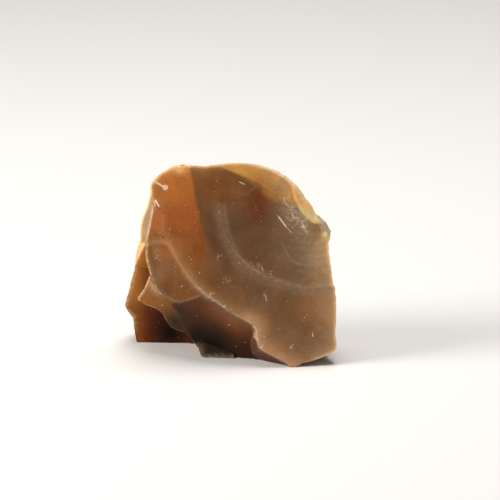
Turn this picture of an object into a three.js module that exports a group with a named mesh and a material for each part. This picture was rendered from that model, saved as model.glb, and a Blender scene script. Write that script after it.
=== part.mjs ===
import * as THREE from "three";

// Rough hornstone: one broken chunk, in millimetres with +Z up. Its broad shell-shaped face looks along -Y,
// a long keel runs down that face to the tip, and the stone rests on a flat underside.
// The faces are traced in a sight frame that looks slightly down on the broad face: u runs to its right,
// v runs up it and w comes out of it. A point lies in the stone where every face function is below zero.

// Driving sizes
const stoneWidth = 35.9;        // across the broad face
const tracedWidth = 35.9;       // the width that the traced points below belong to
const sightDown = 17.0;         // degrees, how far the sight frame looks down
const sightTurn = 1.94;         // degrees, its turn about its own axis
const heartAt = [0.43, -1.61, 15.54];   // the sight frame's origin in the part

const broadFace = { height: 6.9, riseUp: 0.045, riseRight: -0.03, fall: 0.05, bow: 0.001 };
const dish = {
  strikeU: 13.4, strikeV: 12.3, radius: 16.15, shortening: 0.9, depth: 1.25, crest: 0.09, crestWidth: 0.8,
};
const leftBevel = { slopeTop: 0.52, slopeFoot: 0.40, blend: 4.5 };
const topBevel = { slopeLeft: 0.62, slopeRight: 0.37, blend: 2.2 };
const keelSlopes = { upper: 0.34, lower: 0.85, jog: 2.4, tip: 2.4 };
const flakeScar = { u: 14.1, v: 11.3, halfWidth: 2.6, halfLength: 4.6, lean: 30.6, depth: 1.3 };
const nub = { top: 8.2, foot: 3.6, step: 0.25, slope: 0.9 };
const leftRim = { foot: 2.5, slope: 1.6 };
const spur = { top: 4, fall: 1.08, u: -14.3, w: 2.04, innerRight: 0.35, innerUp: 1.97 };
const lip = {
  u: -4.2, v: -14.4, w: -2.25, fall: 0.25, riseRight: 0.30, slope: 0.32,
  left: -5.6, right: 0.5, endSlope: 2.0, lumpU: -5, lumpWidth: 0.9, lump: 0.35,
};
const ledge = { step: 0.4, slope: 0.8, tuck: 0.6, undercut: 0.30 };
const rearFlank = { level: -8.4, at: -6.3, rise: 0.30, edgeSlope: 0.9, edgeWidth: 0.8, slope: 0.22 };
const footFace = { level: -11.1, u: -16.3, v: -13.35, riseRight: 0.20, riseUp: 0.30 };
const hollow = { u: -9.5, v: -9.0, halfWidth: 2.8, halfHeight: 3.2, depth: 1.2 };

// The stone's rim as it stands against the light: u, v, w, and how fast the hidden side closes in behind it
const rim = [
  [-13.5, 13.9, 2.5, 0.2], [-12.15, 15.3, 3.6, 0.2], [-10.3, 16.45, 4.6, 0.2], [-8.15, 16.95, 5.7, 0.2],
  [-6.8, 16.85, 7, 0.2], [-3.9, 16.7, 7.3, 0.2], [-1.2, 17.1, 7.2, 0.2], [1.2, 17.25, 6.4, 0.2],
  [3.7, 17.1, 5.6, 0.2], [5.9, 16.7, 4.8, 0.2], [7.6, 16.05, 4.4, 0.2], [9.3, 15.1, 4.7, 0.2],
  [10.4, 14.1, 4.8, 0.2], [11.7, 12.8, 4.4, 0.2], [12.8, 11.15, 4.3, 0.2], [13.8, 9.9, 4.4, 0.2],
  [14.3, 8.85, 4.7, 0.2], [15.2, 8.1, 4.6, 0.2], [16.2, 7.1, 4.4, 0.2], [17, 5.7, 4.3, 0.2],
  [16.95, 4.75, 4.5, 0.2], [16.55, 3.7, 5.2, 0.2], [16.7, 1.5, 5.4, 0.2], [17.05, -1.1, 5.5, 0.2],
  [17.35, -3.3, 5.7, 0.2], [17.7, -4, 5.6, 0.2], [17.85, -7, 5.4, 0.2], [17.7, -11.2, 5, 0.2],
  [17.35, -14.9, 4, 0.02], [15.5, -15.7, 4, 0], [13.3, -16.5, 4.5, 0], [11.3, -17.2, 5, 0],
  [10.6, -17.7, 5, 0], [9.9, -17.5, 4.5, 0], [7.3, -16.7, 2, 0], [4.3, -16.2, -1, 0],
  [3.1, -15.8, -1.9, 0], [1.5, -16.1, -1.8, 0], [-2, -16.3, -1.5, 0], [-4.2, -16.2, -1.4, 0],
  [-5.2, -15.5, -2.5, 0], [-5.7, -14.1, -6, 0], [-7.2, -13.5, -10.4, 0], [-12.6, -13.6, -10.9, 0],
  [-16.2, -13.6, -11.1, 0.02], [-16.8, -10.9, -10.2, 0.2], [-17.1, -9, -9.8, 0.2],
  [-17.55, -8.4, -9.8, 0.2], [-18.3, -7.15, -9.5, 0.2], [-18.15, -6.3, -9.2, 0.2],
  [-17.4, -3.75, -8.4, 0.2], [-16.55, -0.3, -7.2, 0.2], [-15.85, 3.3, -6, 0.2], [-15.65, 3.9, -4, 0.2],
  [-15.6, 5.45, -1.5, 0.2], [-15.45, 6.9, -1.4, 0.2], [-14.55, 9.5, 0.3, 0.2], [-13.85, 11.65, 1.4, 0.2],
];
const rimCentre = [0, -1];

// Ridges of the broad face. These run up and down it: v, u
const bevelRidge = curve([
  [-6.0, -4.2], [-0.9, -4.2], [1.7, -4.4], [4.0, -4.6], [6.8, -5.1], [10.2, -5.8], [13.6, -6.4], [16.1, -6.8],
  [17.7, -6.8],
]);
const leftEdge = curve([
  [-16.4, -4.2], [-15.9, -4.8], [-14.8, -5.4], [-13.9, -5.6], [-13.3, -6.2], [-11.9, -7.1], [-10.7, -7.7],
  [-9.0, -8.9], [-7.4, -9.8], [-6.1, -10.7], [-5.1, -12.0], [-3.4, -13.2], [-1.9, -13.7], [-0.8, -14.0],
  [1.5, -14.5], [3.2, -14.4], [5.4, -14.1], [8.2, -13.5], [10.8, -13.2], [13.0, -13.5], [16.1, -14.2],
]);
const ledgeEdge = curve([
  [-16.7, -4.3], [-14.8, -5.5], [-13.7, -6.2], [-12.3, -7.1], [-11.6, -8.0], [-11.2, -9.4], [-10.6, -10.3],
  [-9.5, -11.1], [-8.1, -12.0], [-7.5, -12.9], [-6.9, -14.5], [-6.3, -15.5], [-5.7, -16.0], [-4.0, -14.8],
  [-2.0, -13.9], [-0.6, -13.0],
]);
const flankEdge = curve([
  [-13.6, -16.2], [-10.9, -16.8], [-9.0, -17.1], [-8.0, -17.9], [-6.3, -18.2], [-3.7, -17.4], [-0.3, -16.5],
  [3.3, -15.8], [5.0, -15.5],
]);
const nubEdge = curve([[3.2, 17.0], [4.0, 16.5], [5.1, 15.9], [6.6, 15.3], [7.8, 14.8], [8.9, 14.4]]);
// These run across it: u, v
const topRidge = curve([
  [-4.4, 17.2], [-1.5, 16.4], [-0.3, 15.9], [1.9, 15.1], [4.2, 14.2], [5.7, 13.3], [6.9, 12.2], [8.3, 11.5],
  [9.8, 11.2], [11.7, 11.5], [13.7, 13.0],
]);
const keel = curve([
  [-17.1, 2.9], [-14.2, 3.4], [-12.9, 3.8], [-11.5, 3.85], [-10.6, 3.4], [-9.95, 2.6], [-9.1, 0.9],
  [-7.65, -1.4], [-5.9, -3.55], [-3.9, -5.3], [-1.4, -7.0], [1.1, -8.7], [3.6, -9.9], [8.0, -12.2],
]);
// Where the face under the keel would reach the broad face: the keel itself, and a hidden line farther left
const underLine = curve([
  [-13.7, -1.25], [-12.0, -1.9], [-10.1, -2.85], [-8.3, -3.85], [-6.6, -4.6], [-4.9, -5.05], [-3.4, -5.75],
  [-1.4, -7.0], [1.1, -8.7], [3.6, -9.9], [8.0, -12.2],
]);
const tipLine = curve([[5.0, -14.2], [5.6, -14.6], [7.1, -15.4], [9.6, -16.8], [10.6, -17.7], [13.4, -19.5]]);
// The jog between the keel and the tip's edge: v, u
const jogLine = curve([[-16.1, 6.45], [-14.2, 5.0], [-12.5, 4.4], [-10.9, 4.25], [-9.9, 3.5], [-9.0, 2.6]]);

// Scars of older blows at the back: three points of the scar's plane, the point of the blow, how far it ran
// and how deep, all in the part
const backScars = [
  {
    plane: [[1.5, 0.6, 34.6], [-7.5, 10.7, 17.5], [6.5, 10.7, 16]],
    blow: [0.5, 0.4, 36], radius: 18, depth: 1.5,
  },
  {
    plane: [[18.0, -2.6, 10], [14.3, -0.2, 26], [4.5, 11.4, 12]],
    blow: [19.5, -3.6, 20], radius: 17, depth: 0.6,
  },
  {
    plane: [[-9.5, 11.7, 12], [6.5, 10.7, 12], [-1.5, 9.4, 0]],
    blow: [-4.5, 10.4, 19], radius: 15, depth: 0.9,
  },
  {
    plane: [[-19, 7, 8], [-13, 5, 29], [-9.5, 12.9, 12]],
    blow: [-18.5, 5.4, 18], radius: 13, depth: 1.0,
  },
  {
    plane: [[-12.5, 2.4, 31], [-1.5, 0.6, 34.5], [-9.5, 11.9, 17]],
    blow: [-10.5, 2.4, 33], radius: 12, depth: 0.9,
  },
  {
    plane: [[15.5, 0.4, 0], [17.8, -2.6, 8], [7.5, 10.9, 2]],
    blow: [16.5, -1.6, 3], radius: 9, depth: 0.6,
  },
];
const scarCrest = { height: 0.12, width: 0.7 };

// Skin grid: a box round the stone in the sight frame, drawn in along rays to a point deep in the stone
const gridFrom = [-18.7, -18.0, -15.0];
const gridTo = [18.4, 17.7, 8.0];
const gridCount = [36, 36, 14];
const rayCore = [-3, -1.6, -11.4];

const degree = Math.PI / 180;
const sinDown = Math.sin(sightDown * degree);
const cosDown = Math.cos(sightDown * degree);
const sinTurn = Math.sin(sightTurn * degree);
const cosTurn = Math.cos(sightTurn * degree);
const sightU = [cosTurn, -sinTurn * sinDown, -sinTurn * cosDown];
const sightV = [sinTurn, cosTurn * sinDown, cosTurn * cosDown];
const sightW = [0, -cosDown, sinDown];

// A smooth line through points: cubic between them with averaged slopes, straight beyond both ends.
// Where the direction changes sharply, the kink is kept.
function curve(points) {
  const n = points.length;
  const slope = [];
  for (let i = 0; i < n - 1; i++) {
    slope.push((points[i + 1][1] - points[i][1]) / (points[i + 1][0] - points[i][0]));
  }
  const tangent = [slope[0]];
  for (let i = 1; i < n - 1; i++) {
    const before = points[i][0] - points[i - 1][0];
    const after = points[i + 1][0] - points[i][0];
    let t = (slope[i - 1] * after + slope[i] * before) / (before + after);
    if (Math.abs(slope[i - 1] - slope[i]) > 1.2) {
      t = Math.abs(slope[i - 1]) < Math.abs(slope[i]) ? slope[i - 1] : slope[i];
    }
    tangent.push(t);
  }
  tangent.push(slope[n - 2]);
  return (x) => {
    if (x <= points[0][0]) return points[0][1] + (x - points[0][0]) * tangent[0];
    if (x >= points[n - 1][0]) return points[n - 1][1] + (x - points[n - 1][0]) * tangent[n - 1];
    let i = 0;
    while (x > points[i + 1][0]) i++;
    const h = points[i + 1][0] - points[i][0];
    const t = (x - points[i][0]) / h;
    const s = 1 - t;
    return (1 + 2 * t) * s * s * points[i][1] + t * s * s * h * tangent[i]
      + t * t * (3 - 2 * t) * points[i + 1][1] - t * t * s * h * tangent[i + 1];
  };
}

function smooth(from, to, x) {
  const t = Math.min(1, Math.max(0, (x - from) / (to - from)));
  return t * t * (3 - 2 * t);
}

function softMin(a, b, reach) {
  const h = Math.max(reach - Math.abs(a - b), 0) / reach;
  return Math.min(a, b) - h * h * reach / 4;
}

function bump(x, width) {
  return Math.exp(-(x / width) * (x / width));
}

function dot(a, b) {
  return a[0] * b[0] + a[1] * b[1] + a[2] * b[2];
}

function minus(a, b) {
  return [a[0] - b[0], a[1] - b[1], a[2] - b[2]];
}

// Broad face: a gently bowed plane with the shell-shaped dish about the point of the blow and its low crest
function broadLevel(u, v) {
  const away = Math.hypot(u - dish.strikeU, v - dish.strikeV);
  let turn = Math.atan2(v - dish.strikeV, u - dish.strikeU) / degree;
  if (turn < 0) turn += 360;
  const radius = dish.radius - dish.shortening * smooth(222, 180, turn);
  const crisp = smooth(160, 228, turn);
  const bowl = Math.max(0, 1 - (away / radius) ** 2);
  const beyond = Math.max(0, away - radius);
  return broadFace.height + broadFace.riseUp * v + broadFace.riseRight * u
    - dish.depth * (bowl * crisp + bowl ** 1.6 * (1 - crisp))
    - broadFace.fall * beyond - broadFace.bow * beyond * beyond
    + dish.crest * bump(away - radius, dish.crestWidth) * crisp;
}

// The flake scar is a leaning bowl: 0 in its middle and 1 on its outline
function scarReach(u, v) {
  const c = Math.cos(flakeScar.lean * degree);
  const s = Math.sin(flakeScar.lean * degree);
  const across = (u - flakeScar.u) * c + (v - flakeScar.v) * s;
  const along = (v - flakeScar.v) * c - (u - flakeScar.u) * s;
  return (across / flakeScar.halfWidth) ** 2 + (along / flakeScar.halfLength) ** 2;
}

// The whole front: the broad face with its bevels, the faces under the keel, the lip, the scar and the nub
function frontLevel(u, v) {
  const broad = broadLevel(u, v);
  const bevelSlope = leftBevel.slopeFoot + (leftBevel.slopeTop - leftBevel.slopeFoot) * smooth(-4, 12, v);
  const blend = 0.03 + leftBevel.blend * smooth(10, -8, v) ** 1.5;
  const bevelled = softMin(broad, broad - bevelSlope * (bevelRidge(v) - u), blend);
  const topSlope = topBevel.slopeLeft + (topBevel.slopeRight - topBevel.slopeLeft) * smooth(5.5, 10, u);
  const topped = broad - topSlope * (v - topRidge(u));
  let level = softMin(bevelled, topped, 0.03 + topBevel.blend * smooth(5.5, 9.5, u));

  const upper = level - keelSlopes.upper * (keel(u) - v);
  const lower = level - keelSlopes.lower * (underLine(u) - v);
  const tip = level - keelSlopes.tip * (tipLine(u) - v);
  const jog = level - keelSlopes.jog * (jogLine(v) - u);
  const left = Math.min(softMin(level, upper, 0.05 + smooth(-9, -12.5, u)), lower);
  level = Math.max(left, Math.min(level, jog, tip));

  const pastLip = Math.max(0, lip.left - u) + Math.max(0, u - lip.right);
  const out = lip.v - lip.fall * (u - lip.u) - v;
  const flap = lip.w + lip.riseRight * (u - lip.u) + lip.slope * out
    + lip.lump * bump(u - lip.lumpU, lip.lumpWidth) * smooth(-1, 1.5, out);
  level = Math.max(level, flap - lip.endSlope * pastLip);

  level -= flakeScar.depth * Math.max(0, 1 - scarReach(u, v));
  const pastNub = u - nubEdge(v);
  if (pastNub > 0 && v < nub.top && v > nub.foot) level -= nub.step + nub.slope * pastNub;
  const pastLeft = leftEdge(v) - u;
  if (pastLeft > 0 && v > leftRim.foot) level -= leftRim.slope * pastLeft;
  return level;
}

// Rear mass at the left: an outward flank above, the foot's face below it and a hollow beside the foot
function rearLevel(u, v) {
  const inward = u - flankEdge(v);
  const flank = rearFlank.level + rearFlank.rise * (v - rearFlank.at)
    + rearFlank.edgeSlope * Math.min(inward, rearFlank.edgeWidth)
    + rearFlank.slope * Math.max(0, inward - rearFlank.edgeWidth);
  const foot = footFace.level + footFace.riseUp * (v - footFace.v)
    + footFace.riseRight * (u - footFace.u);
  return Math.min(flank, foot)
    - hollow.depth * bump(u - hollow.u, hollow.halfWidth) * bump(v - hollow.v, hollow.halfHeight);
}

// Below the left rim a spur runs down to the rear flank: its outer face carries the rim's own face on, and an
// inner face falls away beside it
function spurLevel(u, v) {
  const outer = frontLevel(u, spur.top) - spur.fall * (spur.top - v);
  const inner = spur.w + spur.innerRight * (u - spur.u) - spur.innerUp * (spur.top - v);
  return Math.min(outer, inner);
}

// The rim as a radius about its centre, for every half degree, with its level and its taper.
// Farther back the radius is an even one, without the chips of the rim.
const rimSteps = 720;
const rimRadius = [];
const rimLevel = [];
const rimTaper = [];
const evenRadius = [];
{
  const polar = rim.map(([u, v, w, taper]) => {
    const du = u - rimCentre[0];
    const dv = v - rimCentre[1];
    return { angle: Math.atan2(dv, du), radius: Math.hypot(du, dv), w, taper };
  }).sort((a, b) => a.angle - b.angle);
  const around = [-1, 0, 1].flatMap((turn) => {
    return polar.map((p) => ({ ...p, angle: p.angle + turn * 2 * Math.PI }));
  });
  const radiusAt = curve(around.map((p) => [p.angle, p.radius]));
  for (let i = 0; i <= rimSteps; i++) {
    const angle = -Math.PI + i * 2 * Math.PI / rimSteps;
    rimRadius.push(radiusAt(angle));
    const k = around.findIndex((p) => p.angle > angle);
    const a = around[k - 1];
    const b = around[k];
    const t = (angle - a.angle) / (b.angle - a.angle);
    rimLevel.push(a.w + (b.w - a.w) * t);
    rimTaper.push(a.taper + (b.taper - a.taper) * t);
  }
  for (let i = 0; i <= rimSteps; i++) {
    let sum = 0;
    let weight = 0;
    for (let j = -60; j <= 60; j++) {
      const g = Math.exp(-0.5 * (j / 16) ** 2);
      sum += g * rimRadius[(i + j + 2 * rimSteps) % rimSteps];
      weight += g;
    }
    evenRadius.push(sum / weight);
  }
}

function along(list, angle) {
  const x = (angle + Math.PI) / (2 * Math.PI) * rimSteps;
  const i = Math.min(rimSteps - 1, Math.floor(x));
  return list[i] + (list[i + 1] - list[i]) * (x - i);
}

function outsideRim(u, v, w) {
  const du = u - rimCentre[0];
  const dv = v - rimCentre[1];
  const angle = Math.atan2(dv, du);
  const behind = Math.max(0, along(rimLevel, angle) - w);
  const even = smooth(0.4, 4, behind);
  const radius = along(rimRadius, angle) * (1 - even) + along(evenRadius, angle) * even;
  const step = 2 * Math.PI / rimSteps;
  const inner = Math.max(-Math.PI + step, Math.min(Math.PI - step, angle));
  const growth = (along(rimRadius, inner + step) - along(rimRadius, inner - step)) / (2 * step);
  const slant = growth / Math.max(radius, 1);
  return (Math.hypot(du, dv) - radius) / Math.sqrt(1 + slant * slant) + along(rimTaper, angle) * behind;
}

const scars = backScars.map(({ plane, blow, radius, depth }) => {
  const [a, b, c] = plane;
  const p = minus(b, a);
  const q = minus(c, a);
  let normal = [p[1] * q[2] - p[2] * q[1], p[2] * q[0] - p[0] * q[2], p[0] * q[1] - p[1] * q[0]];
  const size = Math.hypot(...normal) * Math.sign(dot(normal, minus(a, [-1.45, 2.4, 12])));
  normal = normal.map((x) => x / size);
  const lift = dot(minus(blow, a), normal);
  return { at: a, normal, blow: blow.map((x, i) => x - normal[i] * lift), radius, depth };
});

function outsideScar(p, scar) {
  const height = dot(minus(p, scar.at), scar.normal);
  const from = minus(p, scar.blow);
  const away = Math.hypot(...from.map((x, i) => x - height * scar.normal[i]));
  const bowl = Math.max(0, 1 - (away / scar.radius) ** 2);
  return height + scar.depth * bowl - scarCrest.height * bump(away - scar.radius, scarCrest.width);
}

function toPart([u, v, w]) {
  return heartAt.map((x, i) => x + u * sightU[i] + v * sightV[i] + w * sightW[i]);
}

// Above zero outside the stone, below zero in it, for a point of the sight frame
function outside(s) {
  const [u, v, w] = s;
  const p = toPart(s);
  const edge = leftEdge(v);
  const edgeLevel = frontLevel(edge + 0.02, v);
  const pastLeft = edge - u;
  let front = w - frontLevel(u, v);
  if (v < spur.top) front = Math.max(front, 0.9 * pastLeft + ledge.undercut * Math.max(0, edgeLevel - w));
  let solid = Math.min(front, w - rearLevel(u, v));
  if (v < spur.top) solid = Math.min(solid, w - spurLevel(u, v));
  if (v < 1) {
    const shelf = edgeLevel - ledge.step - ledge.slope * Math.max(0, pastLeft)
      - ledge.tuck * Math.max(0, -pastLeft);
    const outerLevel = edgeLevel - ledge.step - ledge.slope * Math.max(0, edge - ledgeEdge(v));
    const shelfSide = 0.85 * (ledgeEdge(v) - u) + ledge.undercut * Math.max(0, outerLevel - w);
    solid = Math.min(solid, Math.max(w - shelf, shelfSide));
  }
  let f = Math.max(solid, outsideRim(u, v, w), -p[2]);
  for (const scar of scars) f = Math.max(f, outsideScar(p, scar));
  return f;
}

// The outermost place of the skin on the ray from the core through a point of the box
function skinAt(target) {
  const ray = minus(target, rayCore);
  const size = Math.hypot(...ray);
  const dir = ray.map((x) => x / size);
  const place = (r) => rayCore.map((x, i) => x + dir[i] * r);
  const stride = 0.5;
  let r = size + 2;
  while (r > stride && outside(place(r)) > 0) r -= stride;
  let inner = r;
  let outer = r + stride;
  for (let i = 0; i < 20; i++) {
    const half = (inner + outer) / 2;
    if (outside(place(half)) > 0) outer = half;
    else inner = half;
  }
  return place((inner + outer) / 2);
}

function normalAt(s) {
  const e = 0.01;
  const n = [0, 1, 2].map((i) => {
    const a = [...s];
    const b = [...s];
    a[i] += e;
    b[i] -= e;
    return outside(a) - outside(b);
  });
  const size = Math.hypot(...n) || 1;
  return n.map((x) => x / size);
}

function pitchOf(axis) {
  return (gridTo[axis] - gridFrom[axis]) / gridCount[axis];
}

// Corner points and cells of the box's skin
const corners = [];
const cornerIndex = new Map();
const cells = [];
function gridPoint(lattice) {
  return lattice.map((n, i) => gridFrom[i] + (gridTo[i] - gridFrom[i]) * n / gridCount[i]);
}
function corner(lattice) {
  const key = lattice.join(",");
  if (!cornerIndex.has(key)) {
    cornerIndex.set(key, corners.length);
    const s = skinAt(gridPoint(lattice));
    corners.push({ target: gridPoint(lattice), s, normal: normalAt(s), cells: [] });
  }
  return cornerIndex.get(key);
}
for (const [fixed, a, b] of [[0, 1, 2], [1, 2, 0], [2, 0, 1]]) {
  for (const end of [0, gridCount[fixed]]) {
    for (let i = 0; i < gridCount[a]; i++) {
      for (let j = 0; j < gridCount[b]; j++) {
        const ring = [[0, 0], [1, 0], [1, 1], [0, 1]].map(([di, dj]) => {
          const lattice = [0, 0, 0];
          lattice[fixed] = end;
          lattice[a] = i + di;
          lattice[b] = j + dj;
          return corner(lattice);
        });
        const low = [0, 0, 0];
        low[fixed] = end;
        low[a] = i;
        low[b] = j;
        const middle = [...low];
        middle[a] += 0.5;
        middle[b] += 0.5;
        const s = skinAt(gridPoint(middle));
        cells.push({ ring, low, fixed, a, b, centre: { s, normal: normalAt(s) } });
        for (const k of ring) corners[k].cells.push(cells.length - 1);
      }
    }
  }
}

// Where the tangent planes at some points of the skin meet, carried out to the cell's wall and held in the
// cell, and how far out of the cell it would have been
function aimAt(samples, { low, fixed, a, b }) {
  const mean = [0, 1, 2].map((i) => samples.reduce((sum, { s }) => sum + s[i], 0) / samples.length);
  const pull = 0.03;
  const m = [[pull, 0, 0], [0, pull, 0], [0, 0, pull]];
  const right = [0, 0, 0];
  for (const { s, normal } of samples) {
    const reach = dot(normal, minus(s, mean));
    for (let i = 0; i < 3; i++) {
      right[i] += normal[i] * reach;
      for (let j = 0; j < 3; j++) m[i][j] += normal[i] * normal[j];
    }
  }
  const matrix = new THREE.Matrix3().set(...m.flat()).invert();
  const shift = new THREE.Vector3(...right).applyMatrix3(matrix);
  const aim = minus([mean[0] + shift.x, mean[1] + shift.y, mean[2] + shift.z], rayCore);
  const wall = gridPoint(low);
  const stretch = (wall[fixed] - rayCore[fixed]) / aim[fixed];
  const target = [...wall];
  let held = 0;
  for (const axis of [a, b]) {
    const pitch = pitchOf(axis);
    const wanted = stretch > 0 ? rayCore[axis] + aim[axis] * stretch : wall[axis] + pitch / 2;
    target[axis] = Math.min(wall[axis] + 0.93 * pitch, Math.max(wall[axis] + 0.07 * pitch, wanted));
    held = Math.max(held, Math.abs(wanted - target[axis]) / pitch);
  }
  return { target, held };
}

// One vertex for each cell, on the ridge or corner that the tangent planes at its corners and middle point
// to. A ridge that only cuts a cell's corner is looked for again from close by.
const places = cells.map((cell) => {
  let { target, held } = aimAt([...cell.ring.map((k) => corners[k]), cell.centre], cell);
  for (let round = 0; round < 2 && held > 0.04 && held < 3; round++) {
    const near = [[0, 0], [-1, -1], [1, -1], [1, 1], [-1, 1]].map(([da, db]) => {
      const beside = [...target];
      beside[cell.a] += 0.24 * da * pitchOf(cell.a);
      beside[cell.b] += 0.24 * db * pitchOf(cell.b);
      const s = skinAt(beside);
      return { s, normal: normalAt(s) };
    });
    ({ target, held } = aimAt(near, cell));
  }
  return { target, s: skinAt(target) };
});

// Every grid corner gives one face of four (or three) of these vertices, cut along the diagonal that lies
// closer to the skin
const faces = [];
for (const { target, cells: around } of corners) {
  const axis = new THREE.Vector3(...minus(target, rayCore)).normalize();
  const side = new THREE.Vector3(axis.y, axis.z, -axis.x).cross(axis).normalize();
  const other = axis.clone().cross(side);
  const ring = around.map((k) => {
    const d = new THREE.Vector3(...minus(places[k].target, target));
    return { k, angle: Math.atan2(d.dot(other), d.dot(side)) };
  }).sort((p, q) => p.angle - q.angle).map((p) => p.k);
  if (ring.length === 3) {
    faces.push(ring);
    continue;
  }
  const turns = (i, j, k) => {
    const p = new THREE.Vector3(...minus(places[j].target, places[i].target));
    const q = new THREE.Vector3(...minus(places[k].target, places[i].target));
    return axis.dot(p.cross(q)) > 0;
  };
  const gap = (i, j) => Math.abs(outside(places[i].s.map((x, n) => (x + places[j].s[n]) / 2)));
  const [p, q, r, s] = ring;
  const first = turns(p, q, r) && turns(p, r, s);
  const second = turns(q, r, s) && turns(q, s, p);
  if (first && (!second || gap(p, r) <= gap(q, s))) faces.push([p, q, r], [p, r, s]);
  else faces.push([q, r, s], [q, s, p]);
}

const scale = stoneWidth / tracedWidth;
const positions = new Float32Array(places.length * 3);
places.forEach(({ s }, k) => {
  const p = toPart(s);
  if (p[2] < 0.04) p[2] = 0;      // the underside is one flat plane
  positions.set(p.map((x) => x * scale), k * 3);
});
const geometry = new THREE.BufferGeometry();
geometry.setAttribute("position", new THREE.BufferAttribute(positions, 3));
geometry.setIndex(faces.flat());
geometry.computeVertexNormals();

const stone = new THREE.MeshStandardMaterial({ color: 0x7d5537, roughness: 0.42, metalness: 0 });
const hornstone = new THREE.Mesh(geometry, stone);
hornstone.name = "hornstone";

const part = new THREE.Group();
part.name = "rough_hornstone";
part.add(hornstone);
export default part;
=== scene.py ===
# Rough hornstone: one broken chunk of brown translucent stone standing on a pale floor.
# The skin is worked out as whole arrays in millimetres, in a sight frame that looks slightly down on the
# broad face (u to its right, v up it, w out of it), and is put into the mesh in metres.
import time

import bpy
import numpy as np
from mathutils import Matrix, Vector


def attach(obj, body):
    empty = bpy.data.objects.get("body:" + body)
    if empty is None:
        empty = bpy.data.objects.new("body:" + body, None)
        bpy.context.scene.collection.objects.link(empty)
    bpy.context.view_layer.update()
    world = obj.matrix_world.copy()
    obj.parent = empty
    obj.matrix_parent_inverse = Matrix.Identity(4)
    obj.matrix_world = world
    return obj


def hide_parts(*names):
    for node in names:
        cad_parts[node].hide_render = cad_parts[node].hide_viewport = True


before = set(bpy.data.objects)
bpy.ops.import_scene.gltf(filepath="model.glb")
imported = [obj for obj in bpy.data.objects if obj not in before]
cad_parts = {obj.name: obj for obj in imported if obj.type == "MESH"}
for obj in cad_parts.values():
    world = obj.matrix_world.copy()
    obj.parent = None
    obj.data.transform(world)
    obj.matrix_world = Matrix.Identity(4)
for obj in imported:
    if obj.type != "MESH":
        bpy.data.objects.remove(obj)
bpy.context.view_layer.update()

started = time.time()
mm = 0.001


def report(text):
    # A stage's name with the seconds since the start
    print(f"[{time.time() - started:5.1f} s] {text}")


report("frame loaded")

# Sight frame and camera
sight = {
    "down": 17.0,                       # degrees the sight frame looks down
    "turn": 1.94,                       # degrees about its own axis
    "heart": (0.43, -1.61, 15.54),      # its origin in the part
}
down, turn = np.radians(sight["down"]), np.radians(sight["turn"])
sightU = np.array([np.cos(turn), -np.sin(turn) * np.sin(down), -np.sin(turn) * np.cos(down)])
sightV = np.array([np.sin(turn), np.cos(turn) * np.sin(down), np.cos(turn) * np.cos(down)])
sightW = np.array([0.0, -np.cos(down), np.sin(down)])
sightAxes = Matrix((sightU, sightV, sightW)).transposed()
heart = np.array(sight["heart"])

cameraView = {
    "place": (3.763, -899.75, 292.62),  # mm
    "lens": 397.1,
    "sensor": 36.0,
    "clip": (0.05, 20),                 # metres
}


def addObject(name, data):
    # A new object of the given data, linked into the scene
    made = bpy.data.objects.new(name, data)
    bpy.context.scene.collection.objects.link(made)
    return made


def makeCamera():
    # The camera stands straight before the sight frame's origin, so its axes are the sight frame's
    data = bpy.data.cameras.new("camera")
    data.lens, data.sensor_width = cameraView["lens"], cameraView["sensor"]
    data.clip_start, data.clip_end = cameraView["clip"]
    camera = addObject("camera", data)
    camera.matrix_world = Matrix.Translation(Vector(cameraView["place"]) * mm) @ sightAxes.to_4x4()
    bpy.context.scene.camera = camera


makeCamera()


def curve(points, spare=16.0, count=2400):
    # Smooth line through points as a fine table: on each stretch the cubic with averaged slopes at its ends,
    # straight beyond the first and last point; a sharp change of direction stays a kink
    x, y = np.array(points, float).T
    gap = np.diff(x)
    slope = np.diff(y) / gap
    mean = (slope[:-1] * gap[1:] + slope[1:] * gap[:-1]) / (gap[1:] + gap[:-1])
    flatter = np.where(np.abs(slope[:-1]) < np.abs(slope[1:]), slope[:-1], slope[1:])
    inner = np.where(np.abs(np.diff(slope)) > 1.2, flatter, mean)
    tangent = np.concatenate([slope[:1], inner, slope[-1:]])
    at = np.linspace(x[0] - spare, x[-1] + spare, count)
    k = np.clip(np.searchsorted(x, at) - 1, 0, len(x) - 2)
    full = (at - x[k]) / gap[k]
    t = np.clip(full, 0, 1)
    s = 1 - t
    line = (1 + 2 * t) * s * s * y[k] + t * s * s * gap[k] * tangent[k]
    line += t * t * (3 - 2 * t) * y[k + 1] - t * t * s * gap[k] * tangent[k + 1]
    line += np.minimum(full, 0) * gap[k] * tangent[0] + np.maximum(full - 1, 0) * gap[k] * tangent[-1]
    return lambda value: np.interp(value, at, line)


def smooth(low, high, x):
    # 0 up to low, 1 from high, and t * t * (3 - 2 * t) between them
    t = np.clip((x - low) / (high - low), 0, 1)
    return t * t * (3 - 2 * t)


def above(x):
    # The value where it is over zero, else 0
    return np.maximum(x, 0)


def softMin(a, b, reach):
    # The lower of two values, rounded where they differ by less than reach
    h = above(reach - np.abs(a - b)) / reach
    return np.minimum(a, b) - h * h * reach / 4


def bump(x, width):
    # A bell curve of height 1: e to the power of minus the square of x over its width
    return np.exp(-(x / width) ** 2)


def turned(u, v, middleU, middleV, slant):
    # Distances from a middle along and across a line that slants by the given degrees
    c, s = np.cos(np.radians(slant)), np.sin(np.radians(slant))
    du, dv = u - middleU, v - middleV
    return du * c + dv * s, dv * c - du * s


def polar(u, v, centre):
    # Distance from the centre, and the turn about it in degrees from 0 to 360
    du, dv = u - centre["u"], v - centre["v"]
    return np.hypot(du, dv), np.mod(np.degrees(np.arctan2(dv, du)), 360)


def unit(rows):
    # Each row brought to length 1
    return rows / np.maximum(np.linalg.norm(rows, axis=1, keepdims=True), 1e-12)


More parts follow.
